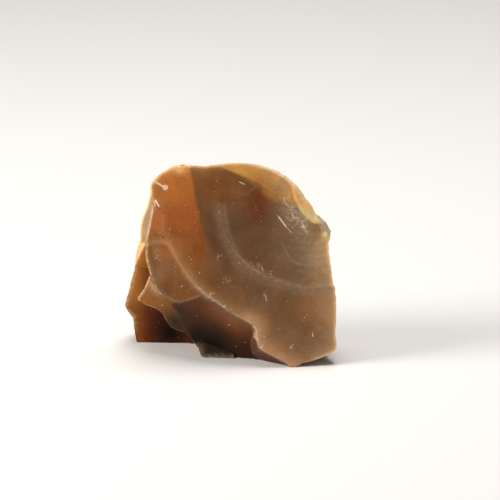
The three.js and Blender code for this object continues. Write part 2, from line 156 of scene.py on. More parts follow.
# Broad face and the faces beside it
broadFace = {"height": 6.9, "riseUp": 0.045, "riseRight": -0.03, "fall": 0.05, "bow": 0.001}
dish = {
    "u": 13.4, "v": 12.3,               # the point of the blow
    "radius": 16.15, "shortening": 0.9,
    "depth": 1.25,
    "crest": 0.09, "crestWidth": 0.8,
}
leftBevel = {"slopeTop": 0.52, "slopeFoot": 0.40, "crisp": 0.03, "blend": 4.5}
topBevel = {"slopeLeft": 0.62, "slopeRight": 0.37, "crisp": 0.03, "blend": 2.2}
keelSlopes = {"upper": 0.34, "lower": 0.85, "jog": 2.4, "tip": 2.4, "crisp": 0.05}
flakeScar = {"u": 14.1, "v": 11.3, "halfWidth": 2.6, "halfLength": 4.6, "lean": 30.6, "depth": 1.3}
nub = {"top": 8.2, "foot": 3.6, "step": 0.25, "slope": 0.9}
leftRim = {"foot": 2.5, "slope": 1.6}
spur = {"top": 4.0, "fall": 1.08, "u": -14.3, "w": 2.04, "innerRight": 0.35, "innerUp": 1.97}
lip = {
    "u": -4.2, "v": -14.4, "w": -2.25,  # where it leaves the lower face
    "fall": 0.25, "riseRight": 0.30,
    "slope": 0.32,
    "left": -5.6, "right": 0.5, "endSlope": 2.0,
    "lumpU": -5.0, "lumpWidth": 0.9, "lump": 0.35,
}
ledge = {"step": 0.4, "slope": 0.8, "tuck": 0.6, "undercut": 0.30, "wallSlope": 0.9, "sideSlope": 0.85}
rearFlank = {"level": -8.4, "at": -6.3, "rise": 0.30, "edgeSlope": 0.9, "edgeWidth": 0.8, "slope": 0.22}
footFace = {"level": -11.1, "u": -16.3, "v": -13.35, "riseRight": 0.20, "riseUp": 0.30}
hollow = {"u": -9.5, "v": -9.0, "halfWidth": 2.8, "halfHeight": 3.2, "depth": 1.2}

# The rim as it stands against the light: u, v, w
rim = [
    (-13.5, 13.9, 2.5), (-12.15, 15.3, 3.6), (-10.3, 16.45, 4.6), (-8.15, 16.95, 5.7), (-6.8, 16.85, 7),
    (-3.9, 16.7, 7.3), (-1.2, 17.1, 7.2), (1.2, 17.25, 6.4), (3.7, 17.1, 5.6), (5.9, 16.7, 4.8),
    (7.6, 16.05, 4.4), (9.3, 15.1, 4.7), (10.4, 14.1, 4.8), (11.7, 12.8, 4.4), (12.8, 11.15, 4.3),
    (13.8, 9.9, 4.4), (14.3, 8.85, 4.7), (15.2, 8.1, 4.6), (16.2, 7.1, 4.4), (17, 5.7, 4.3),
    (16.95, 4.75, 4.5), (16.55, 3.7, 5.2), (16.7, 1.5, 5.4), (17.05, -1.1, 5.5), (17.35, -3.3, 5.7),
    (17.7, -4, 5.6), (17.85, -7, 5.4), (17.7, -11.2, 5), (17.35, -14.9, 4), (15.5, -15.7, 4),
    (13.3, -16.5, 4.5), (11.3, -17.2, 5), (10.6, -17.7, 5), (9.9, -17.5, 4.5), (7.3, -16.7, 2),
    (4.3, -16.2, -1), (3.1, -15.8, -1.9), (1.5, -16.1, -1.8), (-2, -16.3, -1.5), (-4.2, -16.2, -1.4),
    (-5.2, -15.5, -2.5), (-5.7, -14.1, -6), (-7.2, -13.5, -10.4), (-12.6, -13.6, -10.9),
    (-16.2, -13.6, -11.1), (-16.8, -10.9, -10.2), (-17.1, -9, -9.8), (-17.55, -8.4, -9.8),
    (-18.3, -7.15, -9.5), (-18.15, -6.3, -9.2), (-17.4, -3.75, -8.4), (-16.55, -0.3, -7.2), (-15.85, 3.3, -6),
    (-15.65, 3.9, -4), (-15.6, 5.45, -1.5), (-15.45, 6.9, -1.4), (-14.55, 9.5, 0.3), (-13.85, 11.65, 1.4),
]
rimCentre = (0.0, -1.0)
# How fast the hidden side closes in behind the rim, above and beside the foot, and where the foot begins
rimTapers = {"above": 0.2, "corners": 0.02, "under": 0.0, "footTop": -12, "cornerFrom": 16}

# Ridges that run up and down the broad face: v, u
bevelRidge = curve([
    (-6.0, -4.2), (-0.9, -4.2), (1.7, -4.4), (4.0, -4.6), (6.8, -5.1), (10.2, -5.8), (13.6, -6.4),
    (16.1, -6.8), (17.7, -6.8),
])
leftEdge = curve([
    (-16.4, -4.2), (-15.9, -4.8), (-14.8, -5.4), (-13.9, -5.6), (-13.3, -6.2), (-11.9, -7.1), (-10.7, -7.7),
    (-9.0, -8.9), (-7.4, -9.8), (-6.1, -10.7), (-5.1, -12.0), (-3.4, -13.2), (-1.9, -13.7), (-0.8, -14.0),
    (1.5, -14.5), (3.2, -14.4), (5.4, -14.1), (8.2, -13.5), (10.8, -13.2), (13.0, -13.5), (16.1, -14.2),
])
ledgeEdge = curve([
    (-16.7, -4.3), (-14.8, -5.5), (-13.7, -6.2), (-12.3, -7.1), (-11.6, -8.0), (-11.2, -9.4), (-10.6, -10.3),
    (-9.5, -11.1), (-8.1, -12.0), (-7.5, -12.9), (-6.9, -14.5), (-6.3, -15.5), (-5.7, -16.0), (-4.0, -14.8),
    (-2.0, -13.9), (-0.6, -13.0),
])
flankEdge = curve([
    (-13.6, -16.2), (-10.9, -16.8), (-9.0, -17.1), (-8.0, -17.9), (-6.3, -18.2), (-3.7, -17.4),
    (-0.3, -16.5), (3.3, -15.8), (5.0, -15.5),
])
nubEdge = curve([(3.2, 17.0), (4.0, 16.5), (5.1, 15.9), (6.6, 15.3), (7.8, 14.8), (8.9, 14.4)])
# Ridges that run across it: u, v
topRidge = curve([
    (-4.4, 17.2), (-1.5, 16.4), (-0.3, 15.9), (1.9, 15.1), (4.2, 14.2), (5.7, 13.3), (6.9, 12.2), (8.3, 11.5),
    (9.8, 11.2), (11.7, 11.5), (13.7, 13.0),
])
keel = curve([
    (-17.1, 2.9), (-14.2, 3.4), (-12.9, 3.8), (-11.5, 3.85), (-10.6, 3.4), (-9.95, 2.6), (-9.1, 0.9),
    (-7.65, -1.4), (-5.9, -3.55), (-3.9, -5.3), (-1.4, -7.0), (1.1, -8.7), (3.6, -9.9), (8.0, -12.2),
])
# Where the face under the keel would reach the broad face: the keel itself, and a hidden line farther left
underLine = curve([
    (-13.7, -1.25), (-12.0, -1.9), (-10.1, -2.85), (-8.3, -3.85), (-6.6, -4.6), (-4.9, -5.05), (-3.4, -5.75),
    (-1.4, -7.0), (1.1, -8.7), (3.6, -9.9), (8.0, -12.2),
])
tipLine = curve([(5.0, -14.2), (5.6, -14.6), (7.1, -15.4), (9.6, -16.8), (10.6, -17.7), (13.4, -19.5)])
# The jog between the keel and the tip's edge: v, u
jogLine = curve([(-16.1, 6.45), (-14.2, 5.0), (-12.5, 4.4), (-10.9, 4.25), (-9.9, 3.5), (-9.0, 2.6)])

# Scars of older blows at the back, in the part: three points of the plane, the blow, its reach and its depth
backScars = [
    ((1.5, 0.6, 34.6), (-7.5, 10.7, 17.5), (6.5, 10.7, 16), (0.5, 0.4, 36), 18, 1.5),
    ((18.0, -2.6, 10), (14.3, -0.2, 26), (4.5, 11.4, 12), (19.5, -3.6, 20), 17, 0.6),
    ((-9.5, 11.7, 12), (6.5, 10.7, 12), (-1.5, 9.4, 0), (-4.5, 10.4, 19), 15, 0.9),
    ((-19, 7, 8), (-13, 5, 29), (-9.5, 12.9, 12), (-18.5, 5.4, 18), 13, 1.0),
    ((-12.5, 2.4, 31), (-1.5, 0.6, 34.5), (-9.5, 11.9, 17), (-10.5, 2.4, 33), 12, 0.9),
    ((15.5, 0.4, 0), (17.8, -2.6, 8), (7.5, 10.9, 2), (16.5, -1.6, 3), 9, 0.6),
]
scarCrest = {"height": 0.12, "width": 0.7}
scarInside = (-1.45, 2.4, 12)           # a point in the stone, that tells outwards from inwards


def broadLevel(u, v):
    # A gently bowed plane, less a bowl about the point of the blow, plus the low crest at the bowl's edge
    away, about = polar(u, v, dish)
    radius = dish["radius"] - dish["shortening"] * smooth(222, 180, about)
    crisp = smooth(160, 228, about)
    bowl = above(1 - (away / radius) ** 2)
    beyond = above(away - radius)
    level = broadFace["height"] + broadFace["riseUp"] * v + broadFace["riseRight"] * u
    level -= dish["depth"] * (bowl * crisp + bowl ** 1.6 * (1 - crisp))
    level -= broadFace["fall"] * beyond + broadFace["bow"] * beyond * beyond
    return level + dish["crest"] * bump(away - radius, dish["crestWidth"]) * crisp


def frontParts(u, v):
    # The front's levels: the broad face with its two bevels, the two slopes left of the keel, the jog's face
    # and the tip's edge right of it, and the lip
    broad = broadLevel(u, v)
    bevelSlope = leftBevel["slopeFoot"] + (leftBevel["slopeTop"] - leftBevel["slopeFoot"]) * smooth(-4, 12, v)
    blend = leftBevel["crisp"] + leftBevel["blend"] * smooth(10, -8, v) ** 1.5
    bevelled = softMin(broad, broad - bevelSlope * (bevelRidge(v) - u), blend)
    topSlope = topBevel["slopeLeft"] + (topBevel["slopeRight"] - topBevel["slopeLeft"]) * smooth(5.5, 10, u)
    topped = broad - topSlope * (v - topRidge(u))
    level = softMin(bevelled, topped, topBevel["crisp"] + topBevel["blend"] * smooth(5.5, 9.5, u))
    blend = keelSlopes["crisp"] + smooth(-9, -12.5, u)
    upper = softMin(level, level - keelSlopes["upper"] * (keel(u) - v), blend)
    lower = level - keelSlopes["lower"] * (underLine(u) - v)
    tip = level - keelSlopes["tip"] * (tipLine(u) - v)
    jog = level - keelSlopes["jog"] * (jogLine(v) - u)
    out = lip["v"] - lip["fall"] * (u - lip["u"]) - v
    flap = lip["w"] + lip["riseRight"] * (u - lip["u"]) + lip["slope"] * out
    flap += lip["lump"] * bump(u - lip["lumpU"], lip["lumpWidth"]) * smooth(-1, 1.5, out)
    flap -= lip["endSlope"] * (above(lip["left"] - u) + above(u - lip["right"]))
    return level, upper, lower, jog, tip, flap


def scarReach(u, v):
    # The flake scar is a leaning bowl: 0 in its middle and 1 on its outline
    across, along = turned(u, v, flakeScar["u"], flakeScar["v"], flakeScar["lean"])
    return (across / flakeScar["halfWidth"]) ** 2 + (along / flakeScar["halfLength"]) ** 2


def frontLevel(u, v):
    # The front's faces joined, with the flake scar, the nub and the steep left rim taken from them
    level, upper, lower, jog, tip, flap = frontParts(u, v)
    right = np.minimum(level, np.minimum(jog, tip))
    level = np.maximum(np.maximum(np.minimum(upper, lower), right), flap)
    level -= flakeScar["depth"] * above(1 - scarReach(u, v))
    pastNub = u - nubEdge(v)
    onNub = (pastNub > 0) & (v < nub["top"]) & (v > nub["foot"])
    level -= np.where(onNub, nub["step"] + nub["slope"] * pastNub, 0)
    pastLeft = leftEdge(v) - u
    return level - np.where((pastLeft > 0) & (v > leftRim["foot"]), leftRim["slope"] * pastLeft, 0)


def rearLevel(u, v):
    # The lower of an outward flank and the foot's face, less a soft hollow beside the foot
    inward = u - flankEdge(v)
    flank = rearFlank["level"] + rearFlank["rise"] * (v - rearFlank["at"])
    flank = flank + rearFlank["edgeSlope"] * np.minimum(inward, rearFlank["edgeWidth"])
    flank += rearFlank["slope"] * above(inward - rearFlank["edgeWidth"])
    foot = footFace["level"] + footFace["riseUp"] * (v - footFace["v"])
    foot = foot + footFace["riseRight"] * (u - footFace["u"])
    dent = bump(u - hollow["u"], hollow["halfWidth"]) * bump(v - hollow["v"], hollow["halfHeight"])
    return np.minimum(flank, foot) - hollow["depth"] * dent


def rimTables():
    # The rim as a radius about its centre for every half degree, with its level and taper, and an even radius
    # without its chips: a bell-weighted mean over its neighbours
    u, v, w = np.array(rim).T
    taper = np.where(np.abs(u) > rimTapers["cornerFrom"], rimTapers["corners"], rimTapers["under"])
    taper = np.where(v > rimTapers["footTop"], rimTapers["above"], taper)
    angle = np.arctan2(v - rimCentre[1], u - rimCentre[0])
    order = np.argsort(angle)
    reach = np.hypot(u - rimCentre[0], v - rimCentre[1])[order]
    around = np.concatenate([angle[order] + step for step in (-2 * np.pi, 0, 2 * np.pi)])
    at = np.linspace(-np.pi, np.pi, 721)
    radius = curve(np.stack([around, np.tile(reach, 3)], 1), spare=0.0, count=12000)(at)
    bell = np.exp(-0.5 * (np.arange(-60, 61) / 16) ** 2)
    even = np.convolve(np.concatenate([radius[-61:-1], radius, radius[1:61]]), bell / bell.sum(), "valid")
    level = np.interp(at, around, np.tile(w[order], 3))
    closing = np.interp(at, around, np.tile(taper[order], 3))
    return at, radius, even, level, closing, np.gradient(radius, at)


rimAngle, rimRadius, rimEven, rimLevel, rimTaper, rimSlant = rimTables()


def outsideRim(u, v, w):
    # Distance beyond the rim's radius, which grows even behind the rim and closes in by its taper
    du, dv = u - rimCentre[0], v - rimCentre[1]
    angle = np.arctan2(dv, du)
    rough, smoother, level, taper, slant = (
        np.interp(angle, rimAngle, table) for table in (rimRadius, rimEven, rimLevel, rimTaper, rimSlant))
    behind = above(level - w)
    even = smooth(0.4, 4, behind)
    radius = rough * (1 - even) + smoother * even
    slant = slant / np.maximum(radius, 1)
    return (np.hypot(du, dv) - radius) / np.sqrt(1 + slant * slant) + taper * behind


def scarPlane(a, b, c, blow, radius, depth):
    # The plane as a point and an outward normal, the point of the blow brought onto it, reach and depth
    a, b, c, blow = np.array((a, b, c, blow), float)
    normal = np.cross(b - a, c - a)
    normal /= np.linalg.norm(normal) * np.sign(normal @ (a - np.array(scarInside)))
    return a, normal, blow - normal * ((blow - a) @ normal), radius, depth


scarPlanes = [scarPlane(*scar) for scar in backScars]


def toPart(u, v, w):
    # A point of the sight frame in the part: the heart plus u, v and w along the three sight axes
    return [heart[i] + u * sightU[i] + v * sightV[i] + w * sightW[i] for i in range(3)]


def outsideScar(place, at, normal, blow, radius, depth):
    # Height over the scar's plane, plus a bowl about the blow, less the low crest where the bowl ends
    height = sum((place[i] - at[i]) * normal[i] for i in range(3))
    away = np.sqrt(sum((place[i] - blow[i] - height * normal[i]) ** 2 for i in range(3)))
    bowl = above(1 - (away / radius) ** 2)
    return height + depth * bowl - scarCrest["height"] * bump(away - radius, scarCrest["width"])


edgeTable = np.linspace(-22, 22, 2200)
edgeLevels = frontLevel(leftEdge(edgeTable) + 0.02, edgeTable)
rimFootLevels = frontLevel(edgeTable, np.full(len(edgeTable), spur["top"]))
farOff = 9.0                            # mm, the value of a face where it plays no part


def spurLevels(u, v):
    # Below the left rim: an outer face that carries the rim's own face on, and an inner one beside it
    drop = spur["top"] - v
    outer = np.interp(u, edgeTable, rimFootLevels) - spur["fall"] * drop
    return outer, spur["w"] + spur["innerRight"] * (u - spur["u"]) - spur["innerUp"] * drop


def faceValues(u, v, w):
    # Every face's own value at a point, below zero on the stone's side of it: the height over a face's level,
    # or for the walls the distance beyond their edge
    place = toPart(u, v, w)
    pastLeft = leftEdge(v) - u
    edgeLevel = np.interp(v, edgeTable, edgeLevels)
    front = w - frontLevel(u, v)
    wall = ledge["wallSlope"] * pastLeft + ledge["undercut"] * above(edgeLevel - w)
    wall = np.where(v < spur["top"], wall, -farOff)
    beside = np.where(v < spur["top"], w - np.minimum(*spurLevels(u, v)), farOff)
    rear = w - rearLevel(u, v)
    shelf = w - edgeLevel + ledge["step"] + ledge["slope"] * above(pastLeft)
    shelf += ledge["tuck"] * above(-pastLeft)
    outerLevel = edgeLevel - ledge["step"] - ledge["slope"] * above(leftEdge(v) - ledgeEdge(v))
    shelfSide = ledge["sideSlope"] * (ledgeEdge(v) - u) + ledge["undercut"] * above(outerLevel - w)
    shelfSide = np.where(v < 1, shelfSide, farOff)
    hidden = [outsideScar(place, *scar) for scar in scarPlanes]
    return front, wall, rear, shelf, shelfSide, beside, outsideRim(u, v, w), -place[2], hidden


def outside(u, v, w):
    # Above zero outside the stone and below zero in it: four masses joined, then cut by the rim, the
    # underside and the hidden scars
    front, wall, rear, shelf, shelfSide, beside, edge, under, hidden = faceValues(u, v, w)
    solid = np.minimum(np.maximum(front, wall), np.minimum(rear, np.maximum(shelf, shelfSide)))
    solid = np.maximum(np.maximum(np.minimum(solid, beside), edge), under)
    for face in hidden:
        solid = np.maximum(solid, face)
    return solid


# Skin grid: a box round the stone in the sight frame, drawn in along rays to a point deep in the stone
skinGrid = {
    "low": (-18.7, -18.0, -15.0),
    "high": (18.4, 17.7, 8.0),
    "count": (160, 160, 72),
    "core": (-3.0, -1.6, -11.4),
    "stride": 0.4,
    "calm": 0.03,                       # pull towards the cell's middle where its planes are nearly alike
    "margin": 0.07,                     # share of the cell kept free at its sides
    "look": 0.24,                       # share of a cell, how far round a ridge the second look goes
}
gridLow, gridHigh = np.array(skinGrid["low"]), np.array(skinGrid["high"])
gridCount = np.array(skinGrid["count"])
core = np.array(skinGrid["core"])


def gridPoints(lattice):
    # Grid numbers over to mm: the box's low corner plus each number's share of the box
    return gridLow + (gridHigh - gridLow) * lattice / gridCount


def skinAt(targets):
    # On the ray from the core through each target: strides inwards to the first point in the stone, then
    # halving between the last two
    ray = targets - core
    size = np.linalg.norm(ray, axis=1)
    ray /= size[:, None]

    def valueAt(rows, r):
        return outside(*(core + ray[rows] * r[:, None]).T)

    inner = size + 0.4
    left = np.arange(len(targets))
    while len(left):
        left = left[valueAt(left, inner[left]) > 0]
        inner[left] -= skinGrid["stride"]
    outer = inner + skinGrid["stride"]
    rows = np.arange(len(targets))
    for _ in range(14):
        half = (inner + outer) / 2
        out = valueAt(rows, half) > 0
        outer = np.where(out, half, outer)
        inner = np.where(out, inner, half)
    return core + ray * ((inner + outer) / 2)[:, None]


def normalAt(points, step=0.006):
    # The direction in which the value grows fastest, from differences along the three axes
    ways = step * np.eye(3)
    return unit(np.stack([outside(*(points + way).T) - outside(*(points - way).T) for way in ways], 1))


def makeSkin():
    # One vertex for each cell of the box's six sides, moved to where the tangent planes at the cell's corners
    # and middle meet, so that ridges stay crisp; one face for each grid corner
    cells = []
    for fixed, a, b in ((0, 1, 2), (1, 2, 0), (2, 0, 1)):
        i, j = np.meshgrid(np.arange(gridCount[a]), np.arange(gridCount[b]), indexing="ij")
        for end in (0, gridCount[fixed]):
            cell = np.zeros((i.size, 6), int)
            cell[:, fixed], cell[:, a], cell[:, b] = end, i.ravel(), j.ravel()
            cell[:, 3:] = fixed, a, b
            cells.append(cell)
    cells = np.concatenate(cells)
    rows = np.arange(len(cells))
    low, (fixed, a, b) = cells[:, :3], cells[:, 3:].T

    ring = np.repeat(low[:, None, :], 4, 1)
    for k, (stepA, stepB) in enumerate(((0, 0), (1, 0), (1, 1), (0, 1))):
        ring[rows, k, a] += stepA
        ring[rows, k, b] += stepB
    lattice, cornerOf = np.unique(ring.reshape(-1, 3), axis=0, return_inverse=True)
    cornerOf = cornerOf.reshape(-1, 4)
    cornerTarget = gridPoints(lattice)
    cornerPlace = skinAt(cornerTarget)
    cornerNormal = normalAt(cornerPlace)
    middle = low.astype(float)
    middle[rows, a] += 0.5
    middle[rows, b] += 0.5
    middlePlace = skinAt(gridPoints(middle))
    report("skin sampled")

    places = np.concatenate([cornerPlace[cornerOf], middlePlace[:, None]], 1)
    normals = np.concatenate([cornerNormal[cornerOf], normalAt(middlePlace)[:, None]], 1)
    pitch = (gridHigh - gridLow) / gridCount

    def aimAt(places, normals, rows):
        # Where the tangent planes meet, carried out to the cell's wall and held in the cell, and how far it
        # would have gone beyond
        mean = places.mean(1)
        reach = (normals * (places - mean[:, None])).sum(-1)
        matrix = np.einsum("nki,nkj->nij", normals, normals) + skinGrid["calm"] * np.eye(3)
        shift = np.linalg.solve(matrix, np.einsum("nk,nki->ni", reach, normals)[..., None])[..., 0]
        aim = mean + shift - core
        wall = gridPoints(low[rows])
        each, target, held = np.arange(len(rows)), wall.copy(), np.zeros(len(rows))
        stretch = (wall - core)[each, fixed[rows]] / aim[each, fixed[rows]]
        for axis in (a[rows], b[rows]):
            start, width = wall[each, axis], pitch[axis]
            wanted = np.where(stretch > 0, core[axis] + aim[each, axis] * stretch, start + width / 2)
            spare = skinGrid["margin"] * width
            kept = np.clip(wanted, start + spare, start + width - spare)
            held = np.maximum(held, np.abs(wanted - kept) / width)
            target[each, axis] = kept
        return target, held

    target, held = aimAt(places, normals, rows)
    for _ in range(2):      # a ridge that only cuts a cell's corner is looked for again from close by
        again = rows[(held > 0.04) & (held < 3)]
        around = np.repeat(target[again][:, None], 5, 1)
        each = np.arange(len(again))
        for k, (stepA, stepB) in enumerate(((-1, -1), (1, -1), (1, 1), (-1, 1))):
            around[each, k, a[again]] += skinGrid["look"] * stepA * pitch[a[again]]
            around[each, k, b[again]] += skinGrid["look"] * stepB * pitch[b[again]]
        nearby = skinAt(around.reshape(-1, 3))
        shape = around.shape
        target[again], held[again] = aimAt(nearby.reshape(shape), normalAt(nearby).reshape(shape), again)
    points = skinAt(target)
    report("vertices placed")

    # The cells round each grid corner, in order about the ray through it
    corner = cornerOf.ravel()
    owner = np.repeat(rows, 4)
    axis = unit(cornerTarget - core)
    across = unit(np.cross(np.stack([axis[:, 1], axis[:, 2], -axis[:, 0]], 1), axis))
    other = np.cross(axis, across)
    away = target[owner] - cornerTarget[corner]
    about = np.arctan2((away * other[corner]).sum(1), (away * across[corner]).sum(1))
    order = np.lexsort((about, corner))
    corner, owner = corner[order], owner[order]
    many = np.bincount(corner)
    first = np.concatenate([[0], np.cumsum(many)[:-1]])
    three, four = first[many == 3], first[many == 4]
    p, q, r, s = (owner[four + k] for k in range(4))

    def turns(i, j, k):
        return (axis[corner[four]] * np.cross(target[j] - target[i], target[k] - target[i])).sum(1) > 0

    def gap(i, j):
        return np.abs(outside(*((points[i] + points[j]) / 2).T))

    firstFits = turns(p, q, r) & turns(p, r, s)
    secondFits = turns(q, r, s) & turns(q, s, p)
    one = (firstFits & (~secondFits | (gap(p, r) <= gap(q, s))))[:, None]
    faces = np.concatenate([
        np.stack([owner[three + k] for k in range(3)], 1),
        np.where(one, np.stack([p, q, r], 1), np.stack([q, r, s], 1)),
        np.where(one, np.stack([p, r, s], 1), np.stack([q, s, p], 1)),
    ])
    return points, faces


skinPoints, skinFaces = makeSkin()
report(f"skin of {len(skinPoints)} vertices and {len(skinFaces)} triangles")

# Fine relief laid over the skin along its own normals, heights and sizes in mm
fineRelief = {
    "uneven": 0.014, "unevenSize": 2.6,
    "ripple": 0.020, "rippleSpacing": 1.25, "rippleFrom": 5.0, "rippleTo": 15.2,
    "wobble": 0.35, "wobbleSize": 6.0,  # share of a ripple's spacing
    "backRipple": 0.035, "backSpacing": 1.7, "backWobble": 0.4, "backWobbleSize": 7.0,
    "grit": 0.010, "gritSize": 0.55,
}
innerArc = {
    "u": 12.9, "v": 4.23, "radius": 4.4,
    "from": 184, "to": 290, "fade": 25, # degrees
    "height": 0.05, "width": 0.30,
}
# Small flakes off the rim: how many, their ball radius and how deep each ball bites
rimChips = {
    "count": 56, "smallest": 0.35, "largest": 1.1, "shallow": 0.03, "deep": 0.13, "start": 11,
    "from": (-1.0, -1.0, -5.0),         # the point that the balls stand away from
}


def vertexNormals(places, faces):
    # Each face's normal, weighted by its area, summed at its three corners
    a, b, c = (places[faces[:, k]] for k in range(3))
    n = np.cross(b - a, c - a)
    total = np.stack([np.bincount(faces.ravel(), np.repeat(n[:, k], 3), len(places)) for k in range(3)], 1)
    return unit(total)


def unevenness(points, size, start):
    # The mean of six slanting sine waves whose lengths lie round the given size
    draw = np.random.default_rng(start)
    way = draw.normal(size=(6, 3))
    way *= 2 * np.pi / (size * draw.uniform(0.7, 1.5, 6) * np.linalg.norm(way, axis=1))[:, None]
    return np.sin(points @ way.T + draw.uniform(0, 2 * np.pi, 6)).mean(1)


def near(value, reach=0.35):
    # 1 on a face, falling softly to 0 at the given distance from it
    return 1 - smooth(0.03, reach, np.abs(value))


def reliefHeight(points):
    # Slow unevenness and grit everywhere, rings about each blow that fade outwards, and one short inner arc
    u, v, w = points.T
    front, *_, hidden = faceValues(u, v, w)
    height = fineRelief["uneven"] * unevenness(points, fineRelief["unevenSize"], 3)
    height += fineRelief["grit"] * unevenness(points, fineRelief["gritSize"], 4)
    away, about = polar(u, v, dish)
    band = smooth(fineRelief["rippleFrom"] - 2, fineRelief["rippleFrom"] + 2, away)
    band *= smooth(fineRelief["rippleTo"], fineRelief["rippleTo"] - 3, away)
    band *= smooth(0.3, -0.3, v - topRidge(u))
    wobble = 0.25 * np.sin(np.radians(about * 3))
    wobble += fineRelief["wobble"] * unevenness(points, fineRelief["wobbleSize"], 5)
    rings = np.sin(2 * np.pi * (away / fineRelief["rippleSpacing"] + wobble))
    height += fineRelief["ripple"] * rings * band * near(front)
    arcAway, arcTurn = polar(u, v, innerArc)
    arc = smooth(innerArc["from"], innerArc["from"] + innerArc["fade"], arcTurn)
    arc *= smooth(innerArc["to"], innerArc["to"] - innerArc["fade"], arcTurn)
    height += innerArc["height"] * arc * near(front) * bump(arcAway - innerArc["radius"], innerArc["width"])
    place = toPart(u, v, w)
    wobble = fineRelief["backWobble"] * unevenness(points, fineRelief["backWobbleSize"], 6)
    for value, (_, _, blow, radius, _) in zip(hidden, scarPlanes):
        reach = np.sqrt(sum((place[i] - blow[i]) ** 2 for i in range(3)))
        rings = np.sin(2 * np.pi * (reach / fineRelief["backSpacing"] + wobble))
        height += fineRelief["backRipple"] * rings * (smooth(1.1, 0.3, reach / radius) + 0.25) * near(value)
    return height


def chipRim(points):
    # Balls standing on the rim, each pressed a little into the stone: a point within a ball is moved straight
    # out of it
    draw = np.random.default_rng(rimChips["start"])
    count = rimChips["count"]
    at = np.sort(draw.uniform(-np.pi, np.pi, count))
    reach, level = np.interp(at, rimAngle, rimRadius), np.interp(at, rimAngle, rimLevel)
    onRim = np.stack([rimCentre[0] + reach * np.cos(at), rimCentre[1] + reach * np.sin(at)], 1)
    onRim = np.column_stack([onRim, level + draw.uniform(-0.6, 0.6, count)])
    for spot in onRim[onRim[:, 2] > -4]:
        size = draw.uniform(rimChips["smallest"], rimChips["largest"])
        bite = draw.uniform(rimChips["shallow"], rimChips["deep"])
        nearest = np.argmin(((points - spot) ** 2).sum(1))
        outward = points[nearest] - np.array(rimChips["from"])
        outward /= np.linalg.norm(outward)
        centre = points[nearest] + outward * (size - bite)
        apart = points - centre
        far = np.linalg.norm(apart, axis=1)
        within = far < size
        points[within] = centre + apart[within] * (size / far[within])[:, None]
    return points


skinNormals = vertexNormals(skinPoints, skinFaces)
carvedPoints = skinPoints + skinNormals * reliefHeight(skinPoints)[:, None]
carvedPoints = chipRim(carvedPoints)
report("fine relief and rim chips laid on")

# Colours laid over the skin, in screen values from 0 to 255
paints = {
    "body": (112, 70, 40), "broad": (120, 82, 50), "bevel": (136, 69, 12), "bevelLow": (114, 64, 18),
    "topStrip": (198, 141, 66), "topRight": (166, 126, 86), "scar": (236, 184, 112), "nub": (188, 175, 148),
    "leftRim": (122, 102, 78), "underKeel": (99, 57, 15), "low": (76, 38, 9), "jog": (72, 44, 24),
    "tip": (76, 30, 4), "lip": (40, 33, 22), "shelf": (122, 73, 24), "wall": (90, 52, 26),
    "flank": (134, 74, 24), "spurOuter": (206, 164, 104), "spurInner": (172, 106, 40), "foot": (98, 44, 6),
    "back": (112, 68, 36), "side": (124, 76, 40), "glow": (215, 141, 62), "edge": (228, 198, 150),
    "haze": (164, 142, 116), "fleck": (232, 218, 194), "keelWarm": (168, 114, 62), "rimTop": (212, 152, 84),
    "rimRight": (198, 162, 124), "frost": (176, 146, 108), "dark": (58, 26, 10), "cream": (246, 230, 160),
    "wallFoot": (30, 20, 12), "scarFoot": (214, 196, 140), "nubSpot": (236, 204, 140),
    "keelBand": (150, 104, 56), "tipGlow": (204, 155, 108), "rimPale": (240, 226, 196),
}
